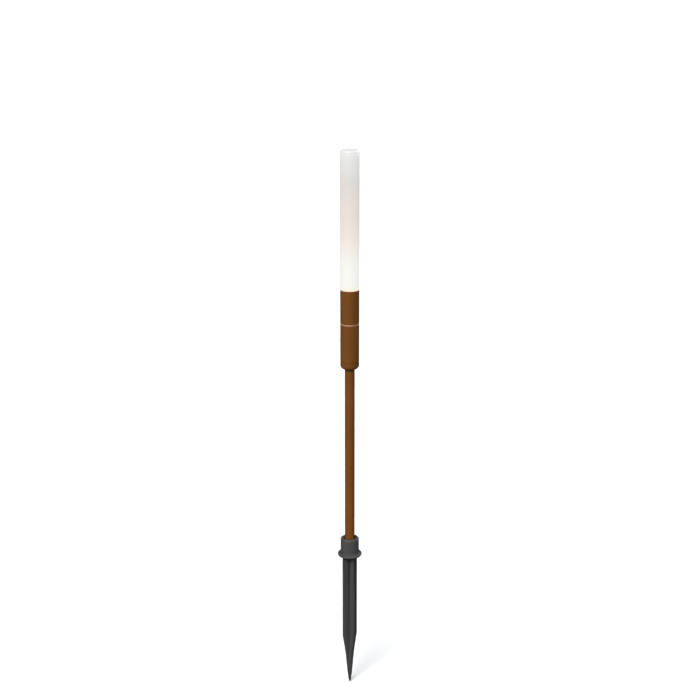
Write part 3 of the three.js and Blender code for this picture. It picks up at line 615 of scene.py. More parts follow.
def spun_mesh(name, profile, sides=SIDES):
    """A closed mesh of a profile turned about +Z. Its ends lie on the axis, or it is a loop."""
    mesh = bmesh.new()
    angles = [2 * math.pi * i / sides for i in range(sides)]
    rings = []
    for radius, height in profile:
        around = angles if radius > AXIS_RADIUS else angles[:1]
        rings.append([mesh.verts.new((radius * math.cos(a), radius * math.sin(a), height))
                      for a in around])
    pairs = list(zip(rings, rings[1:]))
    if profile[0][0] > 0 and profile[-1][0] > 0:
        pairs.append((rings[-1], rings[0]))
    for low, high in pairs:
        for i in range(sides):
            j = (i + 1) % sides
            around = [low[i % len(low)], low[j % len(low)], high[j % len(high)], high[i % len(high)]]
            mesh.faces.new(list(dict.fromkeys(around)))
    return plain_mesh(name, mesh)


def welded(name, *parts):
    """One mesh from several that are the same piece of material."""
    mesh = bmesh.new()
    for part in parts:
        mesh.from_mesh(part)
    return plain_mesh(name, mesh, turn_out=False)


def smoothed(data):
    data.polygons.foreach_set("use_smooth", [True] * len(data.polygons))
    return data


def placed(name, data):
    """A new object in the scene."""
    thing = bpy.data.objects.new(name, data)
    bpy.context.scene.collection.objects.link(thing)
    return thing


def add_piece(name, data, material, body, slot, *nodes, smooth=True):
    """Puts a finished mesh in the scene, on its body, in place of the solids that it stands for."""
    if material is not None:
        data.materials.clear()
        data.materials.append(material)
    if smooth:
        smoothed(data)
    data.set_sharp_from_angle(angle=math.radians(SHARP_TURN))
    piece = placed(name, data)
    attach(piece, body)
    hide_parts(*nodes)
    print(name, "on", body, "faces:", len(data.polygons))


def add_turned(name, profile, *rest):
    add_piece(name, spun_mesh(name, profile), *rest)


def middle(box, axis):
    return (box[0][axis] + box[1][axis]) / 2


# %% [markdown]
# ## The opal tube
# The tube is a blow-moulded sleeve with a closed, slightly domed top and a narrower spigot that
# plugs into the head. The groove in the spigot takes an O-ring.

# %% opal tube
FIT = 0.0003
TUBE_EDGE = 0.005
TUBE_CROWN = 0.0004
TUBE_CAP = 0.0034
CAP_ROUND = 0.002
CROWN_AT = 0.4
CROWN_FALL = 0.2
TUBE_WALL = 0.003
SPIGOT_RADIUS = 0.0162
SPIGOT_WALL = 0.0024
SPIGOT_CONE = 0.0035
TUBE_SEAL_DEPTH = 0.0014
TUBE_SEAL_HALF = 0.00085

tube_radius = tube_high[0]
tube_inner = tube_radius - TUBE_WALL
tube_foot = rim_height + FIT
tube_top = tube_high[2]
tube_seal_height = middle(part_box("diffuser_seal"), 2)
spigot_inner = SPIGOT_RADIUS - SPIGOT_WALL
groove_radius = SPIGOT_RADIUS - TUBE_SEAL_DEPTH
crown_top = tube_top - TUBE_CROWN
tube_profile = [
    (0, tube_top),
    (CROWN_AT * tube_radius, tube_top - CROWN_FALL * TUBE_CROWN),
    *arc(tube_radius - TUBE_EDGE, crown_top - TUBE_EDGE, TUBE_EDGE, 90, 0, 14),
    (tube_radius, crown_top - TUBE_EDGE - SUPPORT),
    *soften([
        (tube_radius, crown_top - 2 * TUBE_EDGE),
        (tube_radius, tube_foot),
        (SPIGOT_RADIUS, tube_foot),
        (SPIGOT_RADIUS, tube_seal_height + TUBE_SEAL_HALF),
        (groove_radius, tube_seal_height + TUBE_SEAL_HALF),
        (groove_radius, tube_seal_height - TUBE_SEAL_HALF),
        (SPIGOT_RADIUS, tube_seal_height - TUBE_SEAL_HALF),
        (SPIGOT_RADIUS, tube_low[2]),
        (spigot_inner, tube_low[2]),
        (spigot_inner, tube_foot),
        (tube_inner, tube_foot + SPIGOT_CONE),
        (tube_inner, tube_top - TUBE_CAP - CAP_ROUND),
    ])[1:-1],
    *arc(tube_inner - CAP_ROUND, tube_top - TUBE_CAP - CAP_ROUND, CAP_ROUND, 0, 90, 5),
    (0, tube_top - TUBE_CAP),
]
add_turned("opal_tube", tube_profile, opal, "diffuser", "opal_plastic", "diffuser_tube")

# %% [markdown]
# ## Pieces that follow a rule
# O-rings, a thread, a ring of LEDs and rows of screws all repeat a shape or sweep it along a path. Each
# is a geometry tree with named sizes, run once on an empty object. Its result is kept as a plain mesh,
# because other programs can't read instances or modifiers.

# %% geometry rules
def rule(name, sizes, objects=(), finishes=("Finish",)):
    """A geometry tree with an input for each size, object and finish."""
    kinds = {int: "Int", float: "Float", tuple: "Vector"}
    tree = bpy.data.node_groups.new(name, "GeometryNodeTree")
    tree.interface.new_socket(name="Geometry", in_out="OUTPUT", socket_type="NodeSocketGeometry")
    labels = [(label, kinds[type(value)]) for label, value in sizes.items()]
    labels += [(label, "Object") for label in objects] + [(label, "Material") for label in finishes]
    for label, kind in labels:
        socket = tree.interface.new_socket(name=label, in_out="INPUT", socket_type="NodeSocket" + kind)
        if label in sizes:
            socket.default_value = sizes[label]
    return tree, tree.nodes.new("NodeGroupInput").outputs, tree.nodes.new("NodeGroupOutput")


def moved_up(tree, geometry, height):
    up = put(tree, "ShaderNodeCombineXYZ", {"Z": height})
    feeds = {"Geometry": geometry, "Translation": up.outputs[0]}
    return put(tree, "GeometryNodeTransform", feeds).outputs[0]


def close_rule(tree, given, result, geometry, **selection):
    """Every rule ends in the same way: real geometry with its finish set."""
    real = put(tree, "GeometryNodeRealizeInstances", {0: geometry})
    coated = put(tree, "GeometryNodeSetMaterial",
                 {"Geometry": real.outputs[0], "Material": given["Finish"], **selection})
    tree.links.new(coated.outputs[0], result.inputs["Geometry"])
    return tree


def grown(name, tree, **values):
    """Runs a rule and returns the plain mesh. Values given by label stand in for the rule's own."""
    host = placed(name, bpy.data.meshes.new(name))
    modifier = host.modifiers.new("rule", "NODES")
    modifier.node_group = tree
    labels = {key.replace("_", " ").capitalize(): value for key, value in values.items()}
    for socket in tree.interface.items_tree:
        if socket.in_out == "INPUT" and socket.name in labels:
            modifier[socket.identifier] = labels[socket.name]
    ready = host.evaluated_get(bpy.context.evaluated_depsgraph_get())
    data = bpy.data.meshes.new_from_object(ready)
    bpy.data.objects.remove(host)
    # the first slot is the empty host's own, so the faces move down past it
    if data.materials[0] is None:
        slots = [face.material_index - 1 for face in data.polygons]
        data.materials.pop(index=0)
        data.polygons.foreach_set("material_index", [max(slot, 0) for slot in slots])
    print(name, "grown with", len(data.polygons), "faces")
    return data


# %% [markdown]
# An O-ring is a small circle swept round a large one. One rule makes both seals, each on the body
# that carries its groove.

# %% seals
def o_ring_rule():
    sizes = {"Ring radius": 0.015, "Section radius": 0.0006, "Height": 0.0, "Sides": SIDES,
             "Section sides": 20}
    tree, given, result = rule("o_ring", sizes)
    path = put(tree, "GeometryNodeCurvePrimitiveCircle",
               {"Resolution": given["Sides"], "Radius": given["Ring radius"]})
    section = put(tree, "GeometryNodeCurvePrimitiveCircle",
                  {"Resolution": given["Section sides"], "Radius": given["Section radius"]})
    swept = put(tree, "GeometryNodeCurveToMesh",
                {"Curve": path.outputs[0], "Profile Curve": section.outputs[0]})
    return close_rule(tree, given, result, moved_up(tree, swept.outputs[0], given["Height"]))


seal_rule = o_ring_rule()
SEALS = (("neck_seal", "joint_seal", "stem"), ("tube_seal", "diffuser_seal", "diffuser"))
for piece_name, node, body in SEALS:
    low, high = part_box(node)
    section = (high[2] - low[2]) / 2
    data = grown(piece_name, seal_rule, ring_radius=high[0] - section, section_radius=section,
                 height=middle((low, high), 2), finish=rubber)
    add_piece(piece_name, data, None, body, "rubber", node)


# %% [markdown]
# ## The brown head
# The head is two turned shells that screw together. The lower shell has a generous round at its
# foot, where the stem goes in, and a threaded neck at its top that the upper shell hides.

# %% lower shell
HOUSING_WALL = 0.0022
HEAD_EDGE = 0.0083
RIM_EDGE = 0.00045
STEM_SOCKET_DEPTH = 0.0119
BASE_WEB = 0.003
STUD_HOLE = 0.0053
NECK_RADIUS = 0.0152
NECK_WALL = 0.0022
NECK_LEDGE = 0.001
NECK_LEDGE_HEIGHT = 0.0031
NECK_CONE = 0.0036
NECK_SEAL_DEPTH = 0.0016
NECK_SEAL_HALF = 0.00095
THREAD_DEPTH = 0.0007
THREAD_RELIEF = 0.0006
MOUTH_DEPTH = 0.0004
MOUTH_FLARE = 0.0001

lower_low, lower_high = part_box("lower_housing")
ring_low, ring_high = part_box("joint_ring")
neck_seal_height = middle(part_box("joint_seal"), 2)
head_radius = lower_high[0]
head_foot = lower_low[2]
neck_top = lower_high[2]
shoulder = ring_low[2] - FIT
housing_inner = head_radius - HOUSING_WALL
stem_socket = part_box("stem_tube")[1][0] + FIT
web_low = head_foot + STEM_SOCKET_DEPTH
web_high = web_low + BASE_WEB
neck_inner = NECK_RADIUS - NECK_WALL
seal_floor = NECK_RADIUS - NECK_SEAL_DEPTH
thread_root = NECK_RADIUS - THREAD_DEPTH
neck_low = neck_seal_height + NECK_SEAL_HALF + THREAD_RELIEF
lower_profile = [
    *arc(head_radius - HEAD_EDGE, head_foot + HEAD_EDGE, HEAD_EDGE, -90, 0, 20),
    (head_radius, head_foot + HEAD_EDGE + SUPPORT),
    *soften([
        (head_radius, head_foot + 2 * HEAD_EDGE),
        (head_radius, shoulder),
        (NECK_RADIUS, shoulder),
        (NECK_RADIUS, neck_seal_height - NECK_SEAL_HALF),
        (seal_floor, neck_seal_height - NECK_SEAL_HALF),
        (seal_floor, neck_seal_height + NECK_SEAL_HALF),
        (NECK_RADIUS, neck_seal_height + NECK_SEAL_HALF),
        (NECK_RADIUS, neck_low),
        (thread_root, neck_low + THREAD_DEPTH),
        (thread_root, neck_top),
        (neck_inner, neck_top),
        (neck_inner, shoulder),
        (neck_inner - NECK_LEDGE, shoulder),
        (neck_inner - NECK_LEDGE, shoulder - NECK_LEDGE_HEIGHT),
        (housing_inner, shoulder - NECK_LEDGE_HEIGHT - NECK_CONE),
        (housing_inner, web_high),
        (STUD_HOLE, web_high),
        (STUD_HOLE, web_low),
        (stem_socket, web_low),
        (stem_socket, head_foot + MOUTH_DEPTH),
        (stem_socket + MOUTH_FLARE, head_foot),
    ], size=RIM_EDGE)[1:],
]
lower_data = spun_mesh("lower_shell", lower_profile)
print("lower shell profile points:", len(lower_profile))

# %% [markdown]
# The neck's thread is a ridge with a three-sided section, swept along a helix. It fades in and out at
# its ends, as a moulded or rolled thread does. It joins the lower shell's mesh, because it is the
# same piece of metal.

# %% thread
THREAD_PITCH = 0.0015
THREAD_TURNS = 3.0
THREAD_START = 0.00035
THREAD_RIDGE = 0.0009
THREAD_FADE = 0.08
THREAD_STEPS = 96
THREAD_LEAST = 0.05


def thread_ridge_rule():
    start = neck_top - THREAD_START - THREAD_PITCH * THREAD_TURNS
    sizes = {"Crest radius": NECK_RADIUS, "Ridge": THREAD_RIDGE, "Pitch": THREAD_PITCH,
             "Turns": THREAD_TURNS, "Start": start, "Fade": THREAD_FADE}
    tree, given, result = rule("thread_ridge", sizes)
    section_radius = math_node(tree, "MULTIPLY", given["Ridge"], 2 / 3)
    path_radius = math_node(tree, "SUBTRACT", given["Crest radius"], section_radius)
    rise = math_node(tree, "MULTIPLY", given["Pitch"], given["Turns"])
    path = put(tree, "GeometryNodeCurveSpiral",
               {"Resolution": THREAD_STEPS, "Rotations": given["Turns"], "Start Radius": path_radius,
                "End Radius": path_radius, "Height": rise})
    upright = put(tree, "GeometryNodeSetCurveNormal", {"Curve": path.outputs[0]}, mode="Z_UP")
    along = put(tree, "GeometryNodeSplineParameter").outputs["Factor"]
    nearest = math_node(tree, "MINIMUM", along, math_node(tree, "SUBTRACT", 1.0, along))
    thickness = math_node(tree, "MINIMUM", math_node(tree, "DIVIDE", nearest, given["Fade"]), 1.0)
    thickness = math_node(tree, "MAXIMUM", thickness, THREAD_LEAST)
    faded = put(tree, "GeometryNodeSetCurveRadius", {"Curve": upright.outputs[0], "Radius": thickness})
    section = put(tree, "GeometryNodeCurvePrimitiveCircle", {"Resolution": 3, "Radius": section_radius})
    swept = put(tree, "GeometryNodeCurveToMesh",
                {"Curve": faded.outputs[0], "Profile Curve": section.outputs[0], "Fill Caps": True})
    return close_rule(tree, given, result, moved_up(tree, swept.outputs[0], given["Start"]))


thread_data = grown("neck_thread", thread_ridge_rule(), finish=powder)
add_piece("lower_shell", welded("lower_shell", lower_data, thread_data), powder, "stem",
          "brown_paint", "lower_housing")

# %% [markdown]
# The upper shell is open at both ends. Inside it has a ledge for the heat sink, and a plain bore
# where the thread is cut.

# %% upper shell
LEDGE_WIDTH = 0.0017
LEDGE_HEIGHT = 0.003
THREAD_PLAY = 0.0001
SINK_DEPTH = 0.005
BORE_CONE_FOOT = 0.0007
BORE_CONE_TOP = 0.0014

upper_low, upper_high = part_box("upper_housing")
thread_bore = NECK_RADIUS + FIT + THREAD_PLAY
ledge_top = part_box("heat_sink")[1][2] - SINK_DEPTH - FIT
upper_profile = soften([
    (thread_bore, upper_low[2]),
    (head_radius, upper_low[2]),
    (head_radius, upper_high[2]),
    (housing_inner, upper_high[2]),
    (housing_inner, ledge_top),
    (housing_inner - LEDGE_WIDTH, ledge_top),
    (housing_inner - LEDGE_WIDTH, ledge_top - LEDGE_HEIGHT),
    (housing_inner, ledge_top - LEDGE_HEIGHT - LEDGE_WIDTH),
    (housing_inner, neck_top + BORE_CONE_TOP),
    (thread_bore, neck_top + BORE_CONE_FOOT),
], size=RIM_EDGE)
add_turned("upper_shell", upper_profile, powder, "head", "brown_paint", "upper_housing")

# %% [markdown]
# The ring between the shells sits a hair inside their surface, so that a fine shadow shows above and
# below it. It turns with the upper shell.

# %% ring between the shells
RING_EDGE = 0.0004

ring_profile = soften([
    (NECK_RADIUS + FIT, ring_low[2]),
    (ring_high[0], ring_low[2]),
    (ring_high[0], ring_high[2]),
    (NECK_RADIUS + FIT, ring_high[2]),
], size=RING_EDGE)
add_turned("split_ring", ring_profile, anodised, "ring", "trim_metal", "joint_ring")

# %% [markdown]
# ## Stem
# The stem is a length of round tube in the same brown coat, cut square with its ends deburred.

# %% stem
STEM_WALL = 0.0015

stem_low, stem_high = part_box("stem_tube")
stem_radius = stem_high[0]
stem_profile = soften([
    (stem_radius - STEM_WALL, stem_low[2]),
    (stem_radius, stem_low[2]),
    (stem_radius, stem_high[2]),
    (stem_radius - STEM_WALL, stem_high[2]),
])
add_turned("stem", stem_profile, powder, "stem", "brown_paint", "stem_tube")

# %% [markdown]
# ## Ground spike
# Collar and flange are turned shapes, and the blade below them is a cross of four ribs that taper to
# a point in two stages. The moulding is built from those two meshes and one boolean join, because
# the ribs die into the flange just as they do in the mould. The ribs are thicker at their root than
# at their edge, which lets the spike leave the mould.

# %% collar and flange
COLLAR_RADIUS = 0.0189
COLLAR_EDGE = 0.0035
COLLAR_FOOT = 0.001
FLANGE_THICKNESS = 0.0066
SOCKET_FLOOR = 0.004
SOCKET_MOUTH = 0.0015
WALL_RINGS = 24

spike_low, spike_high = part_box("ground_spike")
bush_low, bush_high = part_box("stem_bush")
collar_top = spike_high[2]
flange_radius = spike_high[0]
socket_radius = bush_high[0] + FIT
rim = FLANGE_THICKNESS / 2
wall_top = collar_top - COLLAR_EDGE - SUPPORT
wall_foot = FLANGE_THICKNESS + COLLAR_FOOT + SUPPORT
collar_profile = [
    (0, SOCKET_FLOOR),
    (socket_radius, SOCKET_FLOOR),
    (socket_radius, collar_top - SOCKET_MOUTH - SUPPORT),
    *arc(socket_radius + SOCKET_MOUTH, collar_top - SOCKET_MOUTH, SOCKET_MOUTH, 180, 90, 6),
    *arc(COLLAR_RADIUS - COLLAR_EDGE, collar_top - COLLAR_EDGE, COLLAR_EDGE, 90, 0, 12),
    *[(COLLAR_RADIUS, wall_top + (wall_foot - wall_top) * i / WALL_RINGS) for i in range(WALL_RINGS + 1)],
    *arc(COLLAR_RADIUS + COLLAR_FOOT, FLANGE_THICKNESS + COLLAR_FOOT, COLLAR_FOOT, 180, 270, 5),
    *arc(flange_radius - rim, rim, rim, 90, -90, 18),
    (0, 0),
]
collar = bpy.data.objects.new("collar", smoothed(spun_mesh("collar", collar_profile)))
print("collar profile points:", len(collar_profile))

# %% booleans and bevels
BEVEL_STEPS = 3
BEVEL_TURN = 32


def solid_result(base, steps=(), bevel=0.0):
    """The base after booleans with other objects and a small bevel, as a plain mesh."""
    scene = bpy.context.scene.collection
    scene.objects.link(base)
    for other, operation in steps:
        scene.objects.link(other)
        cut = base.modifiers.new(operation, "BOOLEAN")
        cut.object = other
        cut.operation = operation
        cut.solver = "EXACT"
    if bevel:
        round_off = base.modifiers.new("bevel", "BEVEL")
        round_off.width = bevel
        round_off.segments = BEVEL_STEPS
        round_off.limit_method = "ANGLE"
        round_off.angle_limit = math.radians(BEVEL_TURN)
    ready = base.evaluated_get(bpy.context.evaluated_depsgraph_get())
    data = bpy.data.meshes.new_from_object(ready)
    for used in [base] + [other for other, _ in steps]:
        bpy.data.objects.remove(used)
    return data


def loft(name, sections):
    """A closed mesh through loops of points that all have the same count."""
    mesh = bmesh.new()
    rings = [[mesh.verts.new(point) for point in section] for section in sections]
    for low, high in zip(rings, rings[1:]):
        for i in range(len(low)):
            j = (i + 1) % len(low)
            mesh.faces.new((low[i], low[j], high[j], high[i]))
    mesh.faces.new(list(reversed(rings[0])))
    mesh.faces.new(rings[-1])
    return plain_mesh(name, mesh)


# %% [markdown]
# The blade starts as a straight bar whose cross section has the four ribs and a narrow groove in
# each inner corner. A second solid, square in section, has the outline that the blade shows from
# every side. What the two share is the blade, so each rib keeps its draft and its end follows the
# taper.

# %% blade
BLADE_WIDTH = 0.0336
BLADE_SHOULDER_WIDTH = 0.0187
BLADE_TIP_WIDTH = 0.0041
BLADE_POINT_WIDTH = 0.0012
BLADE_STRAIGHT = -0.183
BLADE_SHOULDER = -0.225
BLADE_POINT_START = -0.291
RIB_ROOT = 0.003
RIB_EDGE = 0.002
GROOVE_WIDTH = 0.0009
GROOVE_DEPTH = 0.0009
GROOVE_FLOOR = 0.0005
GROOVE_SUPPORT = 0.0005
BLADE_BEVEL = 0.0003
FINE_FACE = 0.0012
SPARE = 0.001


def cross_section(height):
    """Four ribs, each thinner at its end than at its root, with a groove in each inner corner."""
    reach = BLADE_WIDTH / 2 + SPARE
    slope = (RIB_ROOT - RIB_EDGE) / (BLADE_WIDTH / 2 - RIB_ROOT)
    thin = RIB_ROOT - slope * (reach - RIB_ROOT)
    lip = RIB_ROOT + GROOVE_WIDTH
    beside = lip + GROOVE_SUPPORT
    flank = RIB_ROOT - slope * (beside - RIB_ROOT)
    deep = RIB_ROOT - GROOVE_DEPTH
    quarter = [(reach, -thin), (reach, thin), (beside, flank), (lip, RIB_ROOT - slope * GROOVE_WIDTH),
               (deep + GROOVE_FLOOR, deep), (deep, deep + GROOVE_FLOOR),
               (RIB_ROOT - slope * GROOVE_WIDTH, lip), (flank, beside)]
    turns = [Matrix.Rotation(i * math.pi / 2, 3, "Z") for i in range(4)]
    return [turn @ Vector((x, y, height)) for turn in turns for x, y in quarter]


def square_section(height, half_width):
    corners = ((1, -1), (1, 1), (-1, 1), (-1, -1))
    return [Vector((x * half_width, y * half_width, height)) for x, y in corners]


outline = [
    (rim + SPARE, BLADE_WIDTH / 2),
    (BLADE_STRAIGHT, BLADE_WIDTH / 2),
    (BLADE_SHOULDER, BLADE_SHOULDER_WIDTH / 2),
    (BLADE_POINT_START, BLADE_TIP_WIDTH / 2),
    (spike_low[2], BLADE_POINT_WIDTH / 2),
]
bar = bpy.data.objects.new("bar", loft("bar", [cross_section(z) for z in (spike_low[2] - SPARE, rim)]))
limits = bpy.data.objects.new("limits", loft("limits", [square_section(*o) for o in reversed(outline)]))
blade = bpy.data.objects.new("blade", solid_result(bar, [(limits, "INTERSECT")], bevel=BLADE_BEVEL))

# flat shading on the wide faces, smooth shading on the narrow ones of bevels and fillets
for face in blade.data.polygons:
    corners = [blade.data.vertices[i].co for i in face.vertices]
    longest = max((p - q).length for p in corners for q in corners)
    face.use_smooth = face.area / longest < FINE_FACE
print("blade faces:", len(blade.data.polygons))

# %% [markdown]
# The cable leaves at the back of the collar through a round hole with a flat spot round it for the
# grommet. The cutter is turned like everything else and laid on its side. Where the two halves of
# the mould met, a hair-thin raised line runs down the collar and over the flange, on both sides.

# %% cutter and parting line
GROMMET_SLEEVE = 0.0049
GROMMET_LIP_THICKNESS = 0.002
CUTTER_SPARE = 0.002
FINE_SIDES = 64
RIDGE_WIDTH = 0.00018
RIDGE_HEIGHT = 0.00009
RIDGE_SINK = 0.0001
RIDGE_START = 0.0012

grommet_low, grommet_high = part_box("cable_grommet")
grommet_lip = (grommet_high[0] - grommet_low[0]) / 2
cable_height = middle((grommet_low, grommet_high), 2)
hole_radius = GROMMET_SLEEVE + FIT
spot_radius = grommet_lip + FIT
spot_face = grommet_high[1] - GROMMET_LIP_THICKNESS - FIT
cutter_profile = [
    (0, 0),
    (hole_radius, 0),
    (hole_radius, spot_face),
    (spot_radius, spot_face),
    (spot_radius, COLLAR_RADIUS + CUTTER_SPARE),
    (0, COLLAR_RADIUS + CUTTER_SPARE),
]
lay_down = Matrix.Translation((0, 0, cable_height)) @ Matrix.Rotation(-math.pi / 2, 4, "X")


def parting_ridge(name, turn, outline):
    """A thin raised line that follows the outline of the collar and flange on one side."""
    across = Matrix.Rotation(turn, 3, "Z")
    sides = ((-RIDGE_WIDTH, -RIDGE_SINK), (0, RIDGE_HEIGHT), (RIDGE_WIDTH, -RIDGE_SINK))
    sections = []
    for i, (radius, height) in enumerate(outline):
        before = Vector(outline[max(i - 1, 0)])
        after = Vector(outline[min(i + 1, len(outline) - 1)])
        along = (after - before).normalized()
        out = Vector((-along[1], along[0]))
        if out[0] < 0 and abs(along[1]) > 0.5:
            out = -out
        sections.append([across @ Vector((radius + out[0] * rise, side, height + out[1] * rise))
                         for side, rise in sides])
    return loft(name, sections)


# the outer outline runs from the collar's top edge down to the flange's middle
side_outline = [p for p in collar_profile if p[0] > COLLAR_RADIUS - RIDGE_START and p[1] > rim]
side_outline += [(flange_radius, rim)]
ridges = [parting_ridge(f"parting_{i}", math.pi * i, side_outline) for i in range(2)]
print("parting line points:", len(side_outline))

# %% cut the cable hole
cutter_data = smoothed(spun_mesh("cutter", cutter_profile, sides=FINE_SIDES))
cutter_data.transform(lay_down)
cutter = bpy.data.objects.new("cutter", cutter_data)
spike_data = solid_result(collar, [(blade, "UNION"), (cutter, "DIFFERENCE")])
add_piece("spike", welded("spike", spike_data, *ridges), spike_black, "spike", "spike_plastic",
          "ground_spike", smooth=False)

# %% [markdown]
# ## Grommet and bush
# The rubber grommet has a rounded lip outside the collar. The bush that grips the stem is a plain
# sleeve with a lip at its foot that the stem stands on.

# %% grommet and bush
CABLE_HOLE = 0.0033
GROMMET_FLAT = 0.0009
RUBBER_EDGE = 0.0005
grommet_profile = soften([
    (CABLE_HOLE, grommet_low[1]),
    (GROMMET_SLEEVE, grommet_low[1]),
    (GROMMET_SLEEVE, spot_face + FIT),
    (grommet_lip, spot_face + FIT),
    (grommet_lip, spot_face + FIT + GROMMET_FLAT),
    (GROMMET_SLEEVE, grommet_high[1]),
    (CABLE_HOLE, grommet_high[1]),
], size=RUBBER_EDGE)
grommet_data = spun_mesh("grommet", grommet_profile, sides=FINE_SIDES)
grommet_data.transform(lay_down)
add_piece("grommet", grommet_data, rubber, "spike", "rubber", "cable_grommet")

BUSH_LIP = 0.002
BUSH_WALL = 0.002
bush_radius = bush_high[0]
bush_bore = bush_radius - BUSH_WALL
bush_profile = soften([
    (stem_radius - STEM_WALL, bush_low[2]),
    (bush_radius, bush_low[2]),
    (bush_radius, bush_high[2]),
    (bush_bore, bush_high[2]),
    (bush_bore, bush_low[2] + BUSH_LIP),
    (stem_radius - STEM_WALL, bush_low[2] + BUSH_LIP),
], size=RUBBER_EDGE)
add_turned("grip_bush", bush_profile, rubber, "bush", "rubber", "stem_bush")

# %% [markdown]
# ## The ring of LEDs
# Six LEDs and two screws share a circle of eight stations. An LED is a white package with a slight
# draft, a solder pad on either side, and a dome of yellow phosphor gel. The rule leaves out the two
# stations on the Y axis, and a last step gives the domes a finish of their own by their height.

# %% LEDs
LED_PACKAGE = 0.0035
LED_PACKAGE_HEIGHT = 0.0008
LED_DRAFT = 0.94
LED_PAD = 0.0009
LED_PAD_HEIGHT = 0.0002
LED_STATIONS = 8
LENS_SINK = 0.0002
LENS_UNDERCUT = 0.0001
LENS_MARGIN = 0.00001

LED_NODES = [f"led_{i}" for i in range(1, 7)]
led_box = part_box(LED_NODES[0])
led_circle = middle(led_box, 0)
led_foot = led_box[0][2]
lens_radius = led_box[1][2] - led_foot - LED_PACKAGE_HEIGHT + LENS_SINK


def led_ring_rule():
    sizes = {"Circle radius": led_circle, "Stations": LED_STATIONS, "Package": LED_PACKAGE,
             "Package height": LED_PACKAGE_HEIGHT, "Draft": LED_DRAFT, "Pad": LED_PAD,
             "Pad height": LED_PAD_HEIGHT, "Lens radius": lens_radius, "Foot": led_foot}
    tree, given, result = rule("led_ring", sizes, finishes=("Finish", "Package finish"))

    wide = math_node(tree, "MULTIPLY", given["Package"], math.sqrt(0.5))
    narrow = math_node(tree, "MULTIPLY", wide, given["Draft"])
    package = put(tree, "GeometryNodeMeshCone",
                  {"Vertices": 4, "Radius Top": narrow, "Radius Bottom": wide,
                   "Depth": given["Package height"]})
    squared = put(tree, "GeometryNodeTransform",
                  {"Geometry": package.outputs[0], "Rotation": (0, 0, math.pi / 4)})

    dome_lift = math_node(tree, "SUBTRACT", given["Package height"], LENS_SINK)
    dome = put(tree, "GeometryNodeMeshUVSphere",
               {"Segments": 24, "Rings": 14, "Radius": given["Lens radius"]})
    # only the upper half of the sphere stays; its open foot lies inside the package
    place = put(tree, "ShaderNodeSeparateXYZ", {0: put(tree, "GeometryNodeInputPosition").outputs[0]})
    floor_of_dome = math_node(tree, "SUBTRACT", dome_lift, LENS_UNDERCUT)
    under = math_node(tree, "LESS_THAN", place.outputs["Z"], floor_of_dome)
    flat_z = put(tree, "ShaderNodeCombineXYZ",
                 {"X": place.outputs["X"], "Y": place.outputs["Y"], "Z": floor_of_dome})
    dome = put(tree, "GeometryNodeSetPosition",
               {"Geometry": moved_up(tree, dome.outputs[0], dome_lift), "Selection": under,
                "Position": flat_z.outputs[0]})

    pad_size = put(tree, "ShaderNodeCombineXYZ",
                   {"X": given["Package"], "Y": given["Pad"], "Z": given["Pad height"]})
    pads = put(tree, "GeometryNodeMeshCube", {"Size": pad_size.outputs[0]})
    pads = moved_up(tree, pads.outputs[0], math_node(tree, "DIVIDE", given["Pad height"], 2.0))

    led = put(tree, "GeometryNodeJoinGeometry")
    for part in (squared.outputs[0], dome.outputs[0], pads):
        tree.links.new(part, led.inputs[0])
    stations = put(tree, "GeometryNodeMeshCircle",
                   {"Vertices": given["Stations"], "Radius": given["Circle radius"]})
    index = put(tree, "GeometryNodeInputIndex").outputs[0]
    quarter = math_node(tree, "DIVIDE", given["Stations"], 2.0)
    on_y = math_node(tree, "MODULO", index, quarter)
    on_y = math_node(tree, "SUBTRACT", on_y, math_node(tree, "DIVIDE", quarter, 2.0))
    chosen = math_node(tree, "GREATER_THAN", math_node(tree, "ABSOLUTE", on_y), 0.5)
    step = math_node(tree, "DIVIDE", 2 * math.pi, given["Stations"])
    turn = put(tree, "ShaderNodeCombineXYZ", {"Z": math_node(tree, "MULTIPLY", index, step)})
    leds = put(tree, "GeometryNodeInstanceOnPoints",
               {"Points": stations.outputs[0], "Selection": chosen, "Instance": led.outputs[0],
                "Rotation": turn.outputs[0]})
    standing = moved_up(tree, leds.outputs[0], given["Foot"])
    real = put(tree, "GeometryNodeRealizeInstances", {0: standing})
    white = put(tree, "GeometryNodeSetMaterial",
                {"Geometry": real.outputs[0], "Material": given["Package finish"]})
    above = math_node(tree, "ADD", given["Foot"], given["Package height"])
    is_dome = math_node(tree, "GREATER_THAN", place.outputs["Z"],
                        math_node(tree, "ADD", above, LENS_MARGIN))
    return close_rule(tree, given, result, white.outputs[0], Selection=is_dome)


led_data = grown("led_ring", led_ring_rule(), finish=phosphor, package_finish=white_plastic)
add_piece("led_ring", led_data, None, "head", "led_lens", *LED_NODES)


# %% [markdown]
# ## Screws
# Small pan-head screws hold the LED board and the driver's stand-offs, and two slotted ones clamp the
# wires. Each kind is turned once, with a threaded shank of stacked ridges and a driving slot cut into
# its head. A rule then sets it at every place of its row.

# %% screw shapes
SCREW_HEAD = 0.0022
SCREW_HEAD_HEIGHT = 0.0016
SCREW_SHANK = 0.00125
SCREW_PITCH = 0.0005
SLOT_WIDTH = 0.0006
SLOT_DEPTH = 0.0008
CLAMP_HEAD = 0.0018
SHANK_CORE = 0.82 * SCREW_SHANK
SHANK_RUNOUT = 0.0001
HEAD_HOLLOW = 0.0004
HEAD_ROUND = 0.0006
CROSS_REACH = 0.7
SLOT_REACH = 1.2
SCREW_SIDES = 40


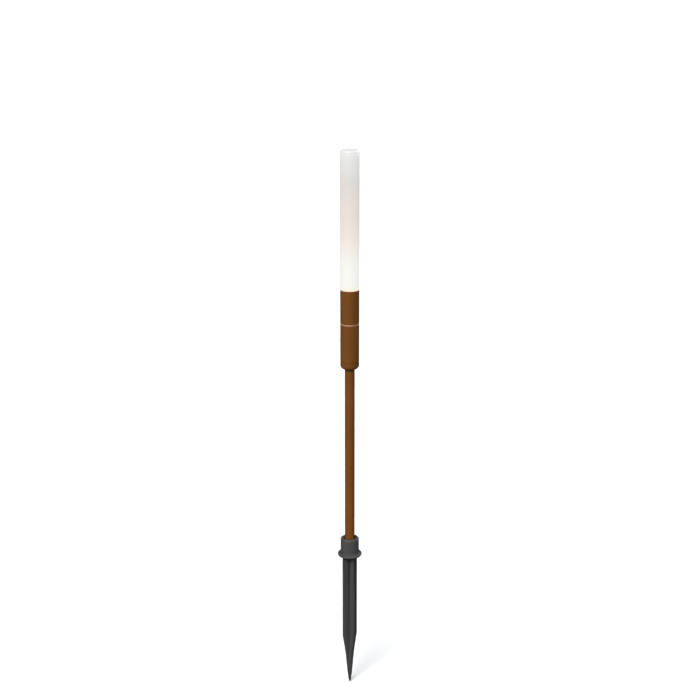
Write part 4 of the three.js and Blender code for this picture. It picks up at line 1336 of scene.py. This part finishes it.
def screw_shape(name, head, shank, slots):
    """A screw on the Z axis with the underside of its head at 0 and its shank below."""
    profile = [(0, -shank)]
    if shank > 0:
        height = -shank
        while height < -SCREW_PITCH:
            profile += [(SHANK_CORE, height), (SCREW_SHANK, height + SCREW_PITCH / 2)]
            height += SCREW_PITCH
        profile.append((SHANK_CORE, -SHANK_RUNOUT))
    profile += [(SHANK_CORE if shank > 0 else HEAD_HOLLOW, 0), (head, 0)]
    profile += arc(head - HEAD_ROUND, SCREW_HEAD_HEIGHT - HEAD_ROUND, HEAD_ROUND, 0, 90, 5)
    profile.append((0, SCREW_HEAD_HEIGHT))
    body = bpy.data.objects.new(name, smoothed(spun_mesh(name, profile, sides=SCREW_SIDES)))
    cuts = []
    for number in range(slots):
        turn = Matrix.Rotation(number * math.pi / 2, 3, "Z")
        reach = head * (CROSS_REACH if slots > 1 else SLOT_REACH)
        floor_height = SCREW_HEAD_HEIGHT - SLOT_DEPTH
        corners = ((-1, -1), (1, -1), (1, 1), (-1, 1))
        sections = [[turn @ Vector((x * reach, y * SLOT_WIDTH / 2, z)) for x, y in corners]
                    for z in (floor_height, SCREW_HEAD_HEIGHT + SPARE)]
        cuts.append((bpy.data.objects.new(f"{name}_slot_{number}", loft("slot", sections)), "DIFFERENCE"))
    return bpy.data.objects.new(name, solid_result(body, cuts))


# %% rows of screws
def screw_row_rule():
    sizes = {"First": (0.0, 0.0, 0.0), "Step": (0.0, 0.0, 0.0), "Turn": (0.0, 0.0, 0.0), "Count": 2}
    tree, given, result = rule("screw_row", sizes, objects=("Screw",))
    line = put(tree, "GeometryNodeMeshLine",
               {"Count": given["Count"], "Start Location": given["First"], "Offset": given["Step"]},
               mode="OFFSET")
    screw = put(tree, "GeometryNodeObjectInfo", {"Object": given["Screw"]})
    row = put(tree, "GeometryNodeInstanceOnPoints",
              {"Points": line.outputs[0], "Instance": screw.outputs["Geometry"],
               "Rotation": given["Turn"]})
    return close_rule(tree, given, result, row.outputs[0])


row_rule = screw_row_rule()
SCREW_ROWS = [
    # piece, nodes, body, axis, direction of the head, head radius, driving slots
    ("board_screws", ("board_screw_1", "board_screw_2"), "head", 2, 1, SCREW_HEAD, 2),
    ("driver_screws", ("driver_screw_1", "driver_screw_2"), "head", 2, -1, SCREW_HEAD, 2),
    ("clamp_screws", ("terminal_screw_1", "terminal_screw_2"), "stem", 1, -1, CLAMP_HEAD, 1),
]
for name, nodes, body, axis, facing, head, slots in SCREW_ROWS:
    boxes = [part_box(node) for node in nodes]
    places = []
    for low, high in boxes:
        place = [middle((low, high), i) for i in range(3)]
        place[axis] = high[axis] - SCREW_HEAD_HEIGHT if facing > 0 else low[axis] + SCREW_HEAD_HEIGHT
        places.append(Vector(place))
    length = boxes[0][1][axis] - boxes[0][0][axis]
    shape = screw_shape(name + "_shape", head, max(length - SCREW_HEAD_HEIGHT, 0.0), slots)
    bpy.context.scene.collection.objects.link(shape)
    turn = (0.0, 0.0, 0.0)
    if facing < 0:
        turn = (math.pi, 0.0, 0.0) if axis == 2 else (math.pi / 2, 0.0, 0.0)
    data = grown(name, row_rule, first=tuple(places[0]), step=tuple(places[1] - places[0]), turn=turn,
                 count=len(nodes), screw=shape, finish=steel)
    bpy.data.objects.remove(shape)
    add_piece(name, data, None, body, "steel", *nodes, smooth=False)

# %% [markdown]
# ## Floor
# A plain pale floor lies under the spike's tip. A real white floor throws so much light upwards that
# it fills every shadow of a small dark piece, and a studio covers it with grey cards just outside
# the view. Here the floor is pale to the eye, and dark grey to the light that bounces off it. A
# faint brightness of its own, which only the eye meets, hides most of the soft shadow at the tip.

# %% floor
FLOOR_SIZE = 600.0
FLOOR_BOUNCE = 0.16
FLOOR_LIFT = 0.17
FLOOR_GAP = 0.0005


def floor_finish():
    material, tree, shader = finish("pale_floor", Specular_IOR_Level=0.1,
                                    Emission_Color=WHITE, Emission_Strength=FLOOR_LIFT)
    tone = use(tree, drift, first=(0.93, 0.93, 0.93, 1), second=(0.95, 0.95, 0.95, 1),
               patch_size=1.5, rough_low=0.8, rough_high=0.9)
    tree.links.new(tone["Colour"], shader.inputs["Base Color"])
    tree.links.new(tone["Roughness"], shader.inputs["Roughness"])
    card = put(tree, "ShaderNodeBsdfDiffuse", {"Color": (FLOOR_BOUNCE, FLOOR_BOUNCE, FLOOR_BOUNCE, 1)})
    show_and_light(tree, card, shader, "Material Output")
    return material


half = FLOOR_SIZE / 2
level = cad_box[0][2] - FLOOR_GAP
floor_data = bpy.data.meshes.new("floor")
floor_data.from_pydata([(-half, -half, level), (half, -half, level), (half, half, level),
                        (-half, half, level)], [], [(0, 1, 2, 3)])
floor_data.materials.append(floor_finish())
floor = placed("floor", floor_data)
print("floor at", round(level, 4))

# %% [markdown]
# ## Finish
# The pieces that keep their plain solids take the finish of their slot.

# %% finish the carried-over solids
SLOT_FINISH = {
    "alloy": alloy,
    "steel": steel,
    "black_moulding": part_black,
    "white_moulding": white_plastic,
    "green_board": board_green,
    "lead_sleeve": insulation,
}
for row in frame["record"]["subparts"]:
    node = frame["nodes"][row["node"]]
    if row["material_slot"] in SLOT_FINISH and not node.hide_render:
        node.data.materials.clear()
        node.data.materials.append(SLOT_FINISH[row["material_slot"]])

# %% update the scene
bpy.context.view_layer.update()
